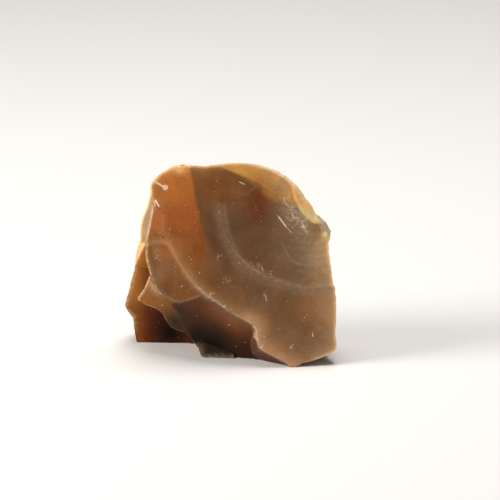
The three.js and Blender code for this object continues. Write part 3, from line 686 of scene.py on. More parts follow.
# Soft clouds of colour by region: middle u, v, half widths, turn in degrees, colour, share
clouds = {
    "broad": [
        (-2.7, 13.2, 3.2, 3.2, 0, (128, 74, 34), 0.8), (1.6, 12.2, 2.0, 2.6, 0, (140, 88, 46), 0.55),
        (5.2, 11.4, 2.3, 3.6, 8, (128, 64, 26), 0.85), (4.3, 4.7, 4.4, 4.2, 30, (103, 74, 47), 0.7),
        (14.3, 1.7, 3.4, 4.6, 0, (156, 128, 94), 0.85), (10.0, 0.0, 4.2, 2.2, -25, (127, 102, 77), 0.7),
        (11.0, 8.0, 3.7, 4.0, -35, (154, 124, 94), 0.78), (-2.7, 4.2, 2.4, 4.2, 0, (87, 58, 38), 0.7),
        (-3.5, -1.7, 4.4, 3.2, -20, (106, 68, 37), 0.7), (5.3, -5.9, 4.6, 3.0, -20, (114, 85, 60), 0.75),
        (15.1, -7.6, 3.0, 3.6, 0, (166, 114, 74), 0.85), (10.9, -12.7, 5.2, 3.2, 0, (135, 99, 70), 0.7),
        (-5.6, 2.2, 1.8, 3.0, 10, (128, 82, 42), 0.6), (4.4, 9.0, 2.0, 2.4, 0, (118, 57, 26), 0.55),
    ],
    "bevel": [
        (-8.6, 13.6, 3.2, 3.4, 0, (162, 95, 28), 0.7), (-12.2, 9.0, 1.2, 5.0, 0, (150, 92, 46), 0.6),
        (-8.7, 16.2, 1.1, 0.8, 0, (214, 170, 100), 0.75), (-8.8, 8.0, 3.2, 2.4, 0, (124, 62, 11), 0.6),
    ],
    "top": [
        (5.2, 13.6, 2.2, 1.6, -20, (174, 106, 48), 0.75), (7.2, 14.8, 1.8, 1.2, -30, (196, 144, 84), 0.6),
        (9.8, 13.5, 2.0, 1.8, -40, (200, 150, 100), 0.7),
    ],
    "underKeel": [
        (-12.3, -1.7, 1.3, 3.6, -20, (120, 84, 54), 0.85), (-10.7, 2.0, 1.5, 1.4, 0, (132, 74, 21), 0.8),
        (-12.7, 2.3, 0.9, 1.2, 0, (158, 112, 70), 0.6), (-7.4, -3.6, 2.2, 1.6, -30, (102, 57, 16), 0.6),
    ],
    # The lower face: its near black clouds are painted shade, for a face that looks down
    "low": [
        (0.4, -9.6, 5.0, 1.5, -33, (106, 62, 28), 0.65), (-1.0, -9.0, 4.4, 1.2, -33, (116, 68, 34), 0.4),
        (-3.2, -11.6, 5.0, 1.7, -26, (32, 17, 7), 0.8), (-6.2, -12.8, 4.4, 2.6, -20, (14, 8, 3), 0.97),
        (-2.6, -13.4, 5.0, 1.5, -20, (20, 10, 4), 0.95), (-9.0, -8.2, 2.4, 2.0, -35, (40, 25, 10), 0.85),
        (2.6, -12.6, 1.8, 2.4, 0, (84, 40, 15), 0.5), (2.0, -14.3, 3.0, 1.8, 0, (40, 21, 10), 0.8),
    ],
    "lip": [
        (-5.0, -14.8, 0.6, 1.2, 10, (112, 98, 70), 0.6), (-2.6, -16.1, 3.6, 0.5, 0, (132, 121, 102), 0.85),
    ],
    # The foot: the near black cloud in its middle is painted shade under the overhanging ledge
    "rear": [
        (-16.4, -4.6, 1.7, 2.8, 0, (163, 104, 42), 0.8), (-13.2, -8.5, 1.9, 2.2, 0, (93, 39, 1), 0.85),
        (-10.1, -11.9, 4.0, 3.4, 0, (6, 2, 1), 0.97), (-16.0, -10.6, 1.1, 3.2, 0, (124, 65, 14), 0.9),
    ],
    # The ledge: its two near black clouds are painted shade under the front mass
    "shelf": [
        (-12.6, -3.8, 1.5, 0.9, -40, (180, 150, 110), 0.9), (-9.6, -9.8, 3.0, 2.6, -40, (18, 11, 5), 0.93),
        (-7.2, -12.4, 2.0, 2.2, 0, (26, 17, 9), 0.95),
    ],
}
crestLine = [
    (-1.16, 9.98), (-0.48, 5.42), (1.72, 1.02), (4.42, -1.01), (7.3, -2.37), (10.18, -3.38), (12.89, -3.89),
    (17.12, -3.72),
]
outerCrest = [
    (-1.9, 9.6), (-1.2, 5.1), (1.1, 0.5), (4.0, -1.7), (7.0, -3.1), (10.0, -4.1), (12.8, -4.6), (17.2, -4.5),
]
keelLine = [
    (-14.3, 3.4), (-12.9, 3.8), (-11.5, 3.85), (-10.6, 3.4), (-9.95, 2.6), (-9.1, 0.9), (-7.65, -1.4),
    (-5.9, -3.55), (-3.88, -5.25), (-1.33, -6.95), (1.21, -8.64), (3.58, -9.99), (4.26, -11.01),
    (4.43, -12.54), (5.1, -14.41), (7.14, -15.42), (10.53, -17.46),
]
# Pale hazy lines: points u, v, half width in mm, strength, and how thickly bright flecks lie along them
hazeLines = [
    (crestLine, 0.40, 0.52, 0.10),
    (crestLine[4:], 0.28, 0.45, 0.15),
    (outerCrest, 1.0, 0.40, 0),
    (keelLine[7:], 0.22, 0.75, 0.55),
    (keelLine[:8], 0.30, 0.20, 0.12),
    (keelLine[6:12], 0.85, 0.30, 0),
    (keelLine[7:10], 0.20, 1.1, 1.0),
    ([(3.5, -9.9), (4.4, -11.0), (4.75, -12.6), (5.3, -14.2)], 0.55, 0.5, 0.5),
    ([(-11.24, -5.13), (-9.87, -6.06), (-8.84, -6.39), (-7.29, -5.95), (-5.92, -5.52), (-4.73, -4.75)],
     0.20, 0.35, 0.1),
    ([(-13.23, 9.84), (-13.58, 8.15), (-14.0, 5.77), (-14.33, 4.07), (-14.28, 3.22)], 0.22, 1.1, 0.5),
    ([(8.59, 3.91), (9.57, 1.71), (10.79, 0.36), (12.52, -0.2), (13.99, -0.14)], 0.17, 0.6, 0.1),
    ([(9.6, 3.6), (10.4, 2.0), (11.6, 1.0), (13.2, 0.9)], 0.15, 0.25, 0),
    ([(11.37, -0.85), (13.06, -1.61), (14.75, -2.12)], 0.2, 0.4, 0),
    ([(2.9, 11.84), (3.41, 12.69), (4.26, 13.37)], 0.22, 0.35, 0),
    ([(-1.66, 12.68), (0.37, 12.52), (2.39, 11.84)], 0.22, 0.22, 0),
    ([(4.09, -5.59), (3.75, -6.94), (3.41, -8.47)], 0.3, 0.2, 0),
    ([(-11.5, 8.2), (-11.5, 5.9)], 0.2, 0.3, 0),
    ([(-5.0, -15.6), (-3.6, -16.05), (-1.0, -16.2), (1.2, -16.0)], 0.16, 0.7, 0.3),
    ([(-14.2, 0.6), (-13.7, -2.0), (-12.9, -4.2), (-11.4, -5.6)], 0.8, 0.35, 0.15),
]
# Groups of bright flecks: u, v, radius, strength
fleckSpots = [
    (-2.17, 14.71, 0.5, 0.9), (-5.38, 8.46, 0.5, 0.7), (-4.12, 2.88, 0.5, 0.9), (-2.0, 1.36, 0.8, 1.0),
    (-0.48, -2.37, 0.9, 0.9), (-6.58, 0.85, 0.9, 0.6), (5.95, -5.42, 0.8, 0.8), (12.55, -9.15, 1.0, 0.9),
    (13.91, -11.86, 0.5, 0.8), (10.27, -14.07, 0.5, 0.9), (11.97, -14.75, 0.5, 0.8),
    (13.58, -14.75, 0.4, 0.8), (-12.23, 1.18, 0.9, 1.0), (-10.18, -0.18, 0.9, 1.0), (-8.65, -3.58, 0.6, 0.7),
    (-11.41, -4.61, 0.5, 0.7), (4.93, -0.51, 1.3, 1.0), (6.79, -1.52, 0.8, 0.9), (14.75, -3.05, 1.1, 0.8),
    (9.8, 8.6, 2.6, 0.45),
]
# Patches thick with fine pale fibres: u, v, radius, strength
fibreSpots = [
    (8.2, 12.6, 0.9, 0.4), (9.2, 11.0, 0.8, 0.5), (9.7, 9.5, 0.8, 0.45), (10.5, 8.0, 0.7, 0.75),
    (11.4, 6.7, 0.7, 0.55), (12.4, 6.4, 0.7, 0.9), (12.9, 5.6, 0.7, 0.75), (13.6, 4.6, 0.7, 0.4),
    (12.6, 7.6, 0.6, 0.7), (-12.4, 1.3, 0.8, 0.4), (-9.6, -0.6, 1.3, 0.25), (-11.6, -1.2, 1.6, 0.2),
    (-8.6, -3.6, 0.9, 0.2), (4.9, -0.5, 0.9, 0.6), (6.8, -1.5, 0.7, 0.4), (-2.0, 1.4, 0.8, 0.4),
    (-0.5, -2.4, 0.8, 0.42), (5.9, -5.4, 0.7, 0.3), (12.5, -9.2, 0.8, 0.35), (10.3, -14.1, 0.6, 0.25),
    (14.7, -3.0, 0.9, 0.25), (2.0, 13.9, 1.0, 0.2), (-3.5, -5.2, 0.7, 0.6), (-2.4, -6.1, 0.5, 0.5),
    (-1.3, -7.0, 0.6, 0.5), (4.2, -10.9, 0.7, 0.6), (4.8, -12.4, 0.6, 0.55), (5.2, -13.8, 0.5, 0.6),
]
fibreBand = {"u": 10.8, "v": 8.7, "slant": -56, "halfLength": 6.2, "halfWidth": 2.6, "share": 0.50}
bodyGlow = {
    "depth": 2.1, "steps": (0.5, 1.0, 1.6, 2.4, 3.4, 4.8, 6.6), "spread": 0.9,
    "slanting": (0.31, 0.86, 0.41),     # a direction that no normal runs along
}
ridgeReach = 0.45                       # mm, the ball in which the open share tells a ridge from a hollow
fleckFloor = {"front": 0.035, "elsewhere": 0.05}


def toLinear(colour):
    # Screen values over to linear light, by the usual power of 2.4
    c = np.array(colour) / 255
    return ((c + 0.055) / 1.055) ** 2.4


def lineDistance(points, u, v):
    # The least distance to the straight stretches between the points
    nearest = np.full(len(u), 99.0)
    for (u0, v0), (u1, v1) in zip(points[:-1], points[1:]):
        du, dv = u1 - u0, v1 - v0
        t = np.clip(((u - u0) * du + (v - v0) * dv) / (du * du + dv * dv), 0, 1)
        nearest = np.minimum(nearest, np.hypot(u - u0 - t * du, v - v0 - t * dv))
    return nearest


def insidePath(points, ways):
    # How far a straight way runs in the stone before it first comes out, to the last step at most
    path = np.zeros(len(points))
    going = np.ones(len(points), bool)
    last = 0.0
    for step in bodyGlow["steps"]:
        still = outside(*(points[going] + ways[going] * step).T) < 0
        rows = np.flatnonzero(going)
        path[rows] += np.where(still, step - last, (step - last) / 2)
        going[rows[~still]] = False
        last = step
    return path


def glowOf(points, normals):
    # The mean of exp(-path / depth) over five ways into the stone: 1 at a thin edge, 0 deep in the body
    side = unit(np.cross(normals, bodyGlow["slanting"]))
    other = np.cross(normals, side)
    total = 0
    for a, b in ((0, 0), (1, 0), (-1, 0), (0, 1), (0, -1)):
        way = unit(-normals + bodyGlow["spread"] * (a * side + b * other))
        total = total + np.exp(-insidePath(points, way) / bodyGlow["depth"])
    return total / 5


def ridgeOf(points):
    # The open share of a small ball round the point: over a half on a ridge, under it in a hollow
    corners = np.stack(np.meshgrid(*[(-1, 1)] * 3, indexing="ij"), -1).reshape(-1, 3) / np.sqrt(3)
    ways = ridgeReach * np.concatenate([corners, np.eye(3), -np.eye(3)])
    return sum(smooth(-0.06, 0.06, outside(*(points + way).T)) for way in ways) / len(ways)


def blurred(values, faces, passes):
    # Each vertex takes the mean of itself and its neighbours, as often as passes says
    ends = np.concatenate([faces[:, [0, 1]], faces[:, [1, 2]], faces[:, [2, 0]]])
    many = 1 + np.bincount(ends[:, 0], minlength=len(values))
    for _ in range(passes):
        values = (values + np.bincount(ends[:, 0], values[ends[:, 1]], len(values))) / many
    return values


def paintSkin(points):
    # Every face's colour laid in turn over the body colour with a soft edge, each with its clouds, and the
    # pale rim last with its painted glow; each step carries the colour below over to the new one by its mask
    u, v, w = points.T
    front, wall, rear, shelf, _, beside, edge, _, hidden = faceValues(u, v, w)
    tint = np.tile(toLinear(paints["body"]), (len(u), 1))

    def lay(colour, mask):
        colour = toLinear(paints.get(colour, colour))
        tint[:] += (colour - tint) * np.clip(mask, 0, 1)[:, None]

    def layClouds(region, mask):
        for middleU, middleV, halfU, halfV, slant, colour, share in clouds[region]:
            a, b = turned(u, v, middleU, middleV, slant)
            lay(colour, share * mask * np.exp(-(a / halfU) ** 2 - (b / halfV) ** 2))

    for number, value in enumerate(hidden):
        lay("back" if number % 2 else "side", near(value))
    lay("side", near(edge, 0.6))
    seen = np.prod([smooth(0.03, 0.15, np.abs(value)) for value in hidden], axis=0)
    onRear = near(rear) * seen * smooth(2, -2, u)
    inward = u - flankEdge(v)
    lay("foot", onRear)
    lay("flank", onRear * smooth(-8.6, -6.6, v) * smooth(4.0, 0.5, inward))
    layClouds("rear", onRear)
    # painted highlight: the pale strip along the flank's outer edge, lit from the left
    lay("frost", 0.8 * onRear * smooth(0.55, 0.0, inward) * smooth(-12.6, -10.0, v))
    outer, inner = spurLevels(u, v)
    onSpur = near(beside, 0.2) * seen * smooth(-6, -8, u)
    lay("spurInner", onSpur)
    # painted highlight: the spur's outer face is laid as a bright pale strip, lit from the left
    lay("spurOuter", onSpur * smooth(-0.15, 0.15, inner - outer))
    pastLeft = leftEdge(v) - u
    onShelf = near(shelf) * seen * (v < 1)
    lay("shelf", onShelf)
    layClouds("shelf", onShelf)
    onWall = near(wall) * seen * (pastLeft > -0.3)
    lay("wall", onWall)
    # painted shade: the wall under the front mass darkens to near black at its foot
    lay("wallFoot", onWall * smooth(-5, -8, v))
    onFront = near(front) * smooth(0.25, 0.05, np.where(v > leftRim["foot"], 0, pastLeft))
    lay("broad", onFront)
    layClouds("broad", onFront)
    onBevel = smooth(-0.12 - 1.6 * smooth(4, -4, v), 0.12 + 1.6 * smooth(4, -4, v), bevelRidge(v) - u)
    onBevel *= smooth(-3, 6, v)
    lay("bevel", onFront * onBevel)
    lay("bevelLow", onFront * onBevel * smooth(9, 2, v))
    layClouds("bevel", onFront * onBevel)
    past = v - topRidge(u) + 0.55 * unevenness(points, 1.1, 9) * smooth(3, 7, u)
    onTop = smooth(-0.1 - 2.0 * smooth(0, 6, u), 0.15 + 0.9 * smooth(0, 6, u), past)
    lay("topStrip", onFront * onTop)
    lay("topRight", onFront * onTop * smooth(3, 9, u) * smooth(-0.5, 1.5, past))
    layClouds("top", onFront * onTop)
    onScar = onFront * smooth(1.46, 1.30, scarReach(u, v)) * smooth(6.8, 7.4, v)
    lay("scar", onScar)
    lay("scarFoot", 0.85 * onScar * smooth(10.6, 8.6, v))
    onNub = smooth(0, 0.25, u - nubEdge(v)) * smooth(nub["foot"] - 0.3, nub["foot"], v)
    onNub *= onFront * smooth(nub["top"] + 0.3, nub["top"], v)
    lay("nub", onNub)
    lay("nubSpot", 0.7 * onFront * bump(u - 15.9, 0.6) * bump(v - 5.0, 0.9))
    lay("leftRim", onFront * smooth(0.0, 0.3, pastLeft) * (v > leftRim["foot"]))
    level, upper, lower, jog, tip, flap = frontParts(u, v)
    left, right = np.minimum(upper, lower), np.minimum(level, np.minimum(jog, tip))
    onLeft = onFront * smooth(-0.02, 0.06, left - right) * smooth(0.02, 0.12, level - left)
    lay("underKeel", onLeft)
    onLower = onLeft * smooth(-0.12, 0.2, upper - lower)
    # painted shade: the lower face, which looks down, is laid dark brown
    lay("low", onLower)
    layClouds("underKeel", onLeft * (1 - onLower))
    layClouds("low", onLower)
    lay("keelWarm", 0.35 * onFront * bump(lineDistance(keelLine[:9], u, v), 0.45))
    # painted glow: a warm band on the upper side of the keel, where light comes through
    besideKeel = bump(lineDistance(keelLine[:12], u, v) - 0.5, 1.0) * smooth(-0.1, 0.3, v - keel(u))
    lay("keelBand", 0.35 * onFront * besideKeel)
    onBroad = onFront * smooth(0.12, 0.02, level - np.maximum(left, right))
    lay("tipGlow", 0.75 * onBroad * bump(lineDistance(keelLine[11:], u, v), 2.1))
    onRight = onFront * smooth(-0.02, 0.04, right - left)
    lay("jog", onRight * smooth(0.05, 0.25, level - jog) * smooth(-0.05, 0.05, tip - jog))
    lay("tip", onRight * smooth(0.05, 0.25, level - tip) * smooth(-0.05, 0.05, jog - tip))
    onLip = onFront * smooth(-0.02, 0.05, flap - np.maximum(left, right))
    lay("lip", onLip)
    layClouds("lip", onLip)
    onRim = onFront * (1 - onNub) * smooth(-15.4, -13.5, v + 0.12 * u)
    onRim *= 1 - smooth(-9.5, -11.0, v) * smooth(9, 4, u)
    rightSide = smooth(10, 15, u) * smooth(7, 4, v)
    # painted glow: warm colour along the thin rim, fading inwards, where light comes through the stone
    lay("rimTop", 0.6 * onRim * (1 - rightSide) * np.exp(np.minimum(edge, 0) / 0.7))
    lay("rimRight", 0.85 * onRim * rightSide * np.exp(np.minimum(edge, 0) / 1.5))
    lay("edge", 0.85 * onRim * smooth(-0.42, -0.12, edge))
    lay("rimPale", 0.7 * onRim * smooth(-0.75, -0.3, edge) * smooth(2, 6, u) * smooth(13.2, 12.0, u))
    return tint, onFront


def hazeAndFlecks(points, onFront):
    # Soft bells across each pale line, and round bells for the groups of flecks and the patches of fibres
    u, v = points.T[:2]

    def addSpots(values, spots):
        for middleU, middleV, radius, share in spots:
            values = np.maximum(values, share * bump(np.hypot(u - middleU, v - middleV), radius))
        return values

    haze = np.zeros(len(u))
    flecks = np.full(len(u), fleckFloor["front"])
    for line, width, share, dense in hazeLines:
        across = lineDistance(line, u, v)
        strength = share * bump(across, width)
        haze = np.maximum(haze, strength) + 0.3 * np.minimum(haze, strength)
        flecks = np.maximum(flecks, dense * bump(across, 0.4))
    flecks = addSpots(flecks, fleckSpots)
    along, across = turned(u, v, fibreBand["u"], fibreBand["v"], fibreBand["slant"])
    fibres = fibreBand["share"] * bump(along, fibreBand["halfLength"]) * bump(across, fibreBand["halfWidth"])
    fibres = addSpots(fibres, fibreSpots)
    fibres *= onFront * smooth(1.2, 1.4, scarReach(u, v)) * smooth(0.1, -0.2, u - nubEdge(v))
    return haze * onFront, np.where(onFront > 0.5, flecks, fleckFloor["elsewhere"]), fibres


def wearAndGlow(points, tint):
    # Where ridges are rubbed pale: less on the lip, the rear mass, the keel's upper end and the foot, and not
    # at all beside the underside. Where light comes through: less in dark stone, low down and on the lip.
    u, v, w = points.T
    high = toPart(u, v, w)[2]
    onLip = smooth(lip["left"] - 0.6, lip["left"], u) * smooth(3.4, 2.6, u)
    onLip *= smooth(-13.9, -14.4, v + lip["fall"] * (u - lip["u"]))
    wear = smooth(0.3, 2.2, high) * (1 - 0.85 * onLip) * (1 - 0.35 * smooth(-3.0, -7.0, w))
    wear *= 1 - 0.75 * bump(lineDistance(keelLine[:7], u, v), 0.7)
    wear *= 1 - 0.7 * smooth(-8.0, -9.5, v) * smooth(-6.3, -7.5, u)
    wear *= 1 - 0.85 * smooth(-13.8, -15.0, v) * smooth(3.4, 4.6, u) * smooth(11.5, 9.5, u)
    level, upper, lower, *_ = frontParts(u, v)
    onLower = smooth(-0.1, 0.2, upper - lower) * smooth(0, 0.2, level - lower) * (w > -6)
    glow = smooth(0, 0.05, tint.mean(1)) * (0.3 + 0.7 * smooth(0, 5, high))
    return wear, glow * (1 - 0.85 * onLip) * (1 - 0.9 * onLower)


def makeMesh(name, places, faces):
    # Whole arrays of vertices and triangles put into a new mesh, shaded smooth
    mesh = bpy.data.meshes.new(name)
    mesh.vertices.add(len(places))
    mesh.vertices.foreach_set("co", places.astype(np.float32).ravel())
    mesh.loops.add(faces.size)
    mesh.loops.foreach_set("vertex_index", faces.astype(np.int32).ravel())
    mesh.polygons.add(len(faces))
    mesh.polygons.foreach_set("loop_start", np.arange(0, faces.size, 3, dtype=np.int32))
    mesh.polygons.foreach_set("use_smooth", np.ones(len(faces), bool))
    mesh.update(calc_edges=True)
    mesh.validate()
    return mesh


meshFinish = {"flatBelow": 0.02, "sharpFrom": 32, "glowPasses": 3, "ridgePasses": 2}    # mm, degrees
skinPlaces = np.stack(toPart(*carvedPoints.T), 1)
skinPlaces[skinPlaces[:, 2] < meshFinish["flatBelow"], 2] = 0       # the underside is one flat plane
stoneMesh = makeMesh("roughHornstone", skinPlaces * mm, skinFaces)
stoneMesh.set_sharp_from_angle(angle=np.radians(meshFinish["sharpFrom"]))
stone = addObject("rough_hornstone", stoneMesh)
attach(stone, "root")
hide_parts("hornstone")


def addAttribute(name, values):
    # One number or one colour for each vertex, under the name by which the material reads it
    if values.ndim == 1:
        kind, field = "FLOAT", "value"
    else:
        kind, field = "FLOAT_COLOR", "color"
        values = np.column_stack([values, np.ones(len(values))])
    stoneMesh.attributes.new(name, kind, "POINT").data.foreach_set(field, values.astype(np.float32).ravel())


tint, onFront = paintSkin(skinPoints)
haze, flecks, fibres = hazeAndFlecks(skinPoints, onFront)
wear, glowShare = wearAndGlow(skinPoints, tint)
report("colours laid on")
skinGlow = blurred(glowOf(skinPoints, skinNormals) * glowShare, skinFaces, meshFinish["glowPasses"])
skinRidge = blurred(ridgeOf(skinPoints), skinFaces, meshFinish["ridgePasses"])
report("light paths and ridges measured")
skinValues = {
    "tint": tint, "front": onFront, "haze": haze, "flecks": flecks, "glow": skinGlow, "ridge": skinRidge,
    "wear": wear, "fibres": fibres,
}
for name, values in skinValues.items():
    addAttribute(name, values)


class Port:
    # One output of a node; sums, products and the like of ports and numbers become math nodes
    def __init__(self, wire, socket):
        self.wire, self.socket = wire, socket

    def __add__(self, other):
        return self.wire.math("ADD", self, other)

    def __sub__(self, other):
        return self.wire.math("SUBTRACT", self, other)

    def __rsub__(self, other):
        return self.wire.math("SUBTRACT", other, self)

    def __mul__(self, other):
        return self.wire.math("MULTIPLY", self, other)

    def __truediv__(self, other):
        return self.wire.math("DIVIDE", self, other)

    def __rtruediv__(self, other):
        return self.wire.math("DIVIDE", other, self)

    __radd__, __rmul__ = __add__, __mul__


class Wiring:
    # Short calls that add nodes to one tree; a value may be a number, a colour or a port
    def __init__(self, tree):
        self.tree = tree

    def put(self, socket, value):
        if isinstance(value, Port):
            self.tree.links.new(value.socket, socket)
        elif value is not None:
            socket.default_value = value

    def node(self, kind, *values, **settings):
        # The values go to the node's inputs in order, and None leaves one alone
        made = self.tree.nodes.new(kind)
        for name, value in settings.items():
            setattr(made, name, value)
        for socket, value in zip(made.inputs, values):
            self.put(socket, value)
        return made

    def take(self, kind, *values, out=0, **settings):
        return Port(self, self.node(kind, *values, **settings).outputs[out])

    def math(self, operation, *values):
        return self.take("ShaderNodeMath", *values, operation=operation)

    def vector(self, operation, *values):
        out = "Value" if operation in ("DISTANCE", "DOT_PRODUCT") else "Vector"
        return self.take("ShaderNodeVectorMath", *values, out=out, operation=operation)

    def scaled(self, vector, share):
        return self.vector("SCALE", vector, None, None, share)

    def split(self, vector):
        return [Port(self, end) for end in self.node("ShaderNodeSeparateXYZ", vector).outputs]

    def join(self, x, y, z):
        return self.take("ShaderNodeCombineXYZ", x, y, z)

    def flat(self, point):
        return self.vector("MULTIPLY", point, (1.0, 1.0, 0.0))

    def span(self, *values):
        # Carries the first value from low..high smoothly over to 0..1, or to the two numbers given last
        return self.take("ShaderNodeMapRange", *values, interpolation_type="SMOOTHSTEP")

    def noise(self, point, scale, detail=2.0, roughness=0.5, distortion=0.0, out="Fac"):
        values = (point, None, scale, detail, roughness, None, None, None, distortion)
        return self.take("ShaderNodeTexNoise", *values, out=out)

    def mix(self, share, under, over):
        skipped = [None] * 5
        return self.take("ShaderNodeMix", share, *skipped, under, over, out=2, data_type="RGBA")

    def use(self, group, *values):
        made = self.node("ShaderNodeGroup", *values, node_tree=group)
        return {end.name: Port(self, end) for end in made.outputs}

    def give(self, **results):
        # Names the outputs of a group and ends it
        for name in results:
            self.tree.interface.new_socket(name, in_out="OUTPUT", socket_type="NodeSocketFloat")
        ends = self.node("NodeGroupOutput").inputs
        for name, value in results.items():
            self.put(ends[name], value)
        return self.tree


def newGroup(name, **inputs):
    # An empty node group and the ports of its named inputs: point is a vector, everything else a number with
    # its first value
    wire = Wiring(bpy.data.node_groups.new(name, "ShaderNodeTree"))
    for socket, first in inputs.items():
        kind = "NodeSocketVector" if first is None else "NodeSocketFloat"
        wire.put(wire.tree.interface.new_socket(socket, in_out="INPUT", socket_type=kind), first)
    ends = wire.node("NodeGroupInput").outputs
    return wire, [Port(wire, ends[socket]) for socket in inputs]


def makeGrain():
    # Clouds, fine grain and a skin height that runs from 0 to 1, all from noise at sizes given in mm
    wire, (point, cloudSize, grainSize) = newGroup("stone grain", point=None, cloudSize=5.0, grainSize=0.5)
    cloud = wire.noise(point, 1.0 / cloudSize, 4.0, 0.55, 0.6)
    fine = wire.noise(point, 1.0 / grainSize, 3.0, 0.65)
    pores = wire.noise(point, 2.6 / grainSize, 2.0, 0.6)
    return wire.give(cloud=wire.span(cloud, 0.3, 0.7, -1.0, 1.0), grain=wire.span(fine, 0.3, 0.7, -1.0, 1.0),
                     height=fine * 0.6 + pores * 0.4)


def makeFlecks():
    # One small slanting dash in each cell of a stretched Voronoi pattern, kept where the cell's own number is
    # below density, and as bright as another of its numbers says
    wire, (point, size, density, reach) = newGroup("flecks", point=None, size=0.4, density=0.2, reach=0.3)
    bend = wire.scaled(wire.noise(point, 1.3, out="Color"), 0.9)
    x, y, z = wire.split(wire.vector("ADD", point, bend))
    slanted = wire.join(y * 0.7 + x, x * -0.5 + y * 1.3, z)
    cell = wire.node("ShaderNodeTexVoronoi", slanted, None, 1.0 / size)
    number = wire.split(Port(wire, cell.outputs["Color"]))
    far = Port(wire, cell.outputs["Distance"]) * (0.5 + wire.noise(point, 9.0))
    spot = wire.span(far, reach, reach * 0.4) * wire.span(number[1], 0.0, 1.0, 0.25, 1.0)
    return wire.give(mask=spot * wire.math("LESS_THAN", number[0], density))


def makeStroke():
    # A thin scratch between two points of the sight frame, uneven along its length and fading at its ends:
    # the distance to the straight stretch, set against its half width
    wire, (point, startU, startV, endU, endV, width) = newGroup(
        "stroke", point=None, startU=0.0, startV=0.0, endU=1.0, endV=0.0, width=0.12)
    start = wire.join(startU, startV, 0.0)
    along = wire.vector("SUBTRACT", wire.join(endU, endV, 0.0), start)
    here = wire.vector("SUBTRACT", wire.flat(point), start)
    share = wire.vector("DOT_PRODUCT", here, along) / wire.vector("DOT_PRODUCT", along, along)
    held = wire.take("ShaderNodeClamp", share)
    gap = wire.vector("DISTANCE", here, wire.scaled(along, held))
    gap = gap + (wire.noise(point, 3.5) - 0.5) * width
    fade = wire.span(held * (1.0 - held) * 4.0, -0.2, 0.7)
    return wire.give(mask=wire.span(gap, width, width * 0.25) * fade)


def makeSpot():
    # A round patch with an uneven edge: the distance to its middle set against its radius
    wire, (point, middleU, middleV, radius) = newGroup(
        "spot", point=None, middleU=0.0, middleV=0.0, radius=0.5)
    away = wire.vector("DISTANCE", wire.flat(point), wire.join(middleU, middleV, 0.0))
    away = away + (wire.noise(point, 2.6) - 0.5) * radius * 0.8
    return wire.give(mask=wire.span(away, radius, radius * 0.6))


def makeHackles():
    # Marks that run out from the point of a blow: noise over the turn about it and the distance from it, both
    # scaled so that it is stretched along the rays, from 0 to 1
    wire, (point, blowU, blowV, fineness) = newGroup(
        "hackles", point=None, blowU=0.0, blowV=0.0, fineness=26.0)
    x, y, _ = wire.split(point)
    du, dv = x - blowU, y - blowV
    away = wire.math("SQRT", du * du + dv * dv)
    about = wire.math("ARCTAN2", dv, du) + wire.noise(point, 0.35) * 0.35
    return wire.give(mask=wire.noise(wire.join(about * fineness, away * 1.1, 0.0), 1.0, 3.0, 0.6))


stoneFinish = {
    "cloud": 0.12, "grain": 0.09, "cloudSize": 4.2, "grainSize": 0.36,
    "warmth": 0.05, "warmthScale": 0.42, "brokenScale": 1.6,                # noise features in a millimetre
    "glow": 0.30, "edge": 0.75, "haze": 0.75,
    "rays": (3.0, 17.0), "raysFineness": 68.0, "hackles": 0.62,
    "fleckSize": 0.55, "fleckDensity": 0.7, "flecks": 0.75, "fleckReach": 0.27,
    "dustSize": 0.30, "dustDensity": 0.5, "dust": 0.5, "glintSpecksShift": (7.3, 2.1, 4.4),
    "roughness": 0.40, "roughnessSpread": 0.06, "wornRoughness": 0.22, "specular": 0.13,
    "bump": 0.18, "bumpDistance": 0.00006,              # metres
    "scatter": 0.22, "scatterRadius": (0.0016, 0.0007, 0.0004), "scatterScale": 1.0,
}
# Scratches and small scars: start u, v, end u, v, half width in mm and strength
scratches = [
    (7.95, 8.35, 9.45, 6.3, 0.16, 1.0), (9.2, 6.6, 10.4, 5.3, 0.07, 0.7), (1.3, 14.05, 2.5, 13.55, 0.12, 0.8),
    (8.9, 11.4, 9.5, 9.9, 0.10, 0.6), (10.2, 8.9, 10.9, 7.5, 0.13, 0.6), (11.9, 7.4, 12.6, 6.0, 0.13, 0.6),
    (-12.9, 14.1, -11.4, 13.2, 0.24, 0.5), (-12.95, 11.1, -12.1, 9.8, 0.20, 0.7),
    (-12.95, 11.1, -12.9, 9.8, 0.14, 0.5), (13.8, -11.4, 13.95, -12.3, 0.12, 0.8),
    (5.75, -4.9, 6.1, -6.2, 0.09, 0.6),
]
# Round chips: u, v, radius in mm, strength, colour
chips = [
    (-11.1, 13.1, 0.58, 0.45, "fleck"), (-11.42, 4.67, 0.26, 0.7, "dark"), (14.3, 8.0, 0.4, 0.35, "fleck"),
    (10.2, -14.0, 0.3, 0.35, "fleck"), (15.95, 5.15, 0.42, 0.8, "cream"), (-3.3, 11.0, 0.2, 0.3, "dark"),
]


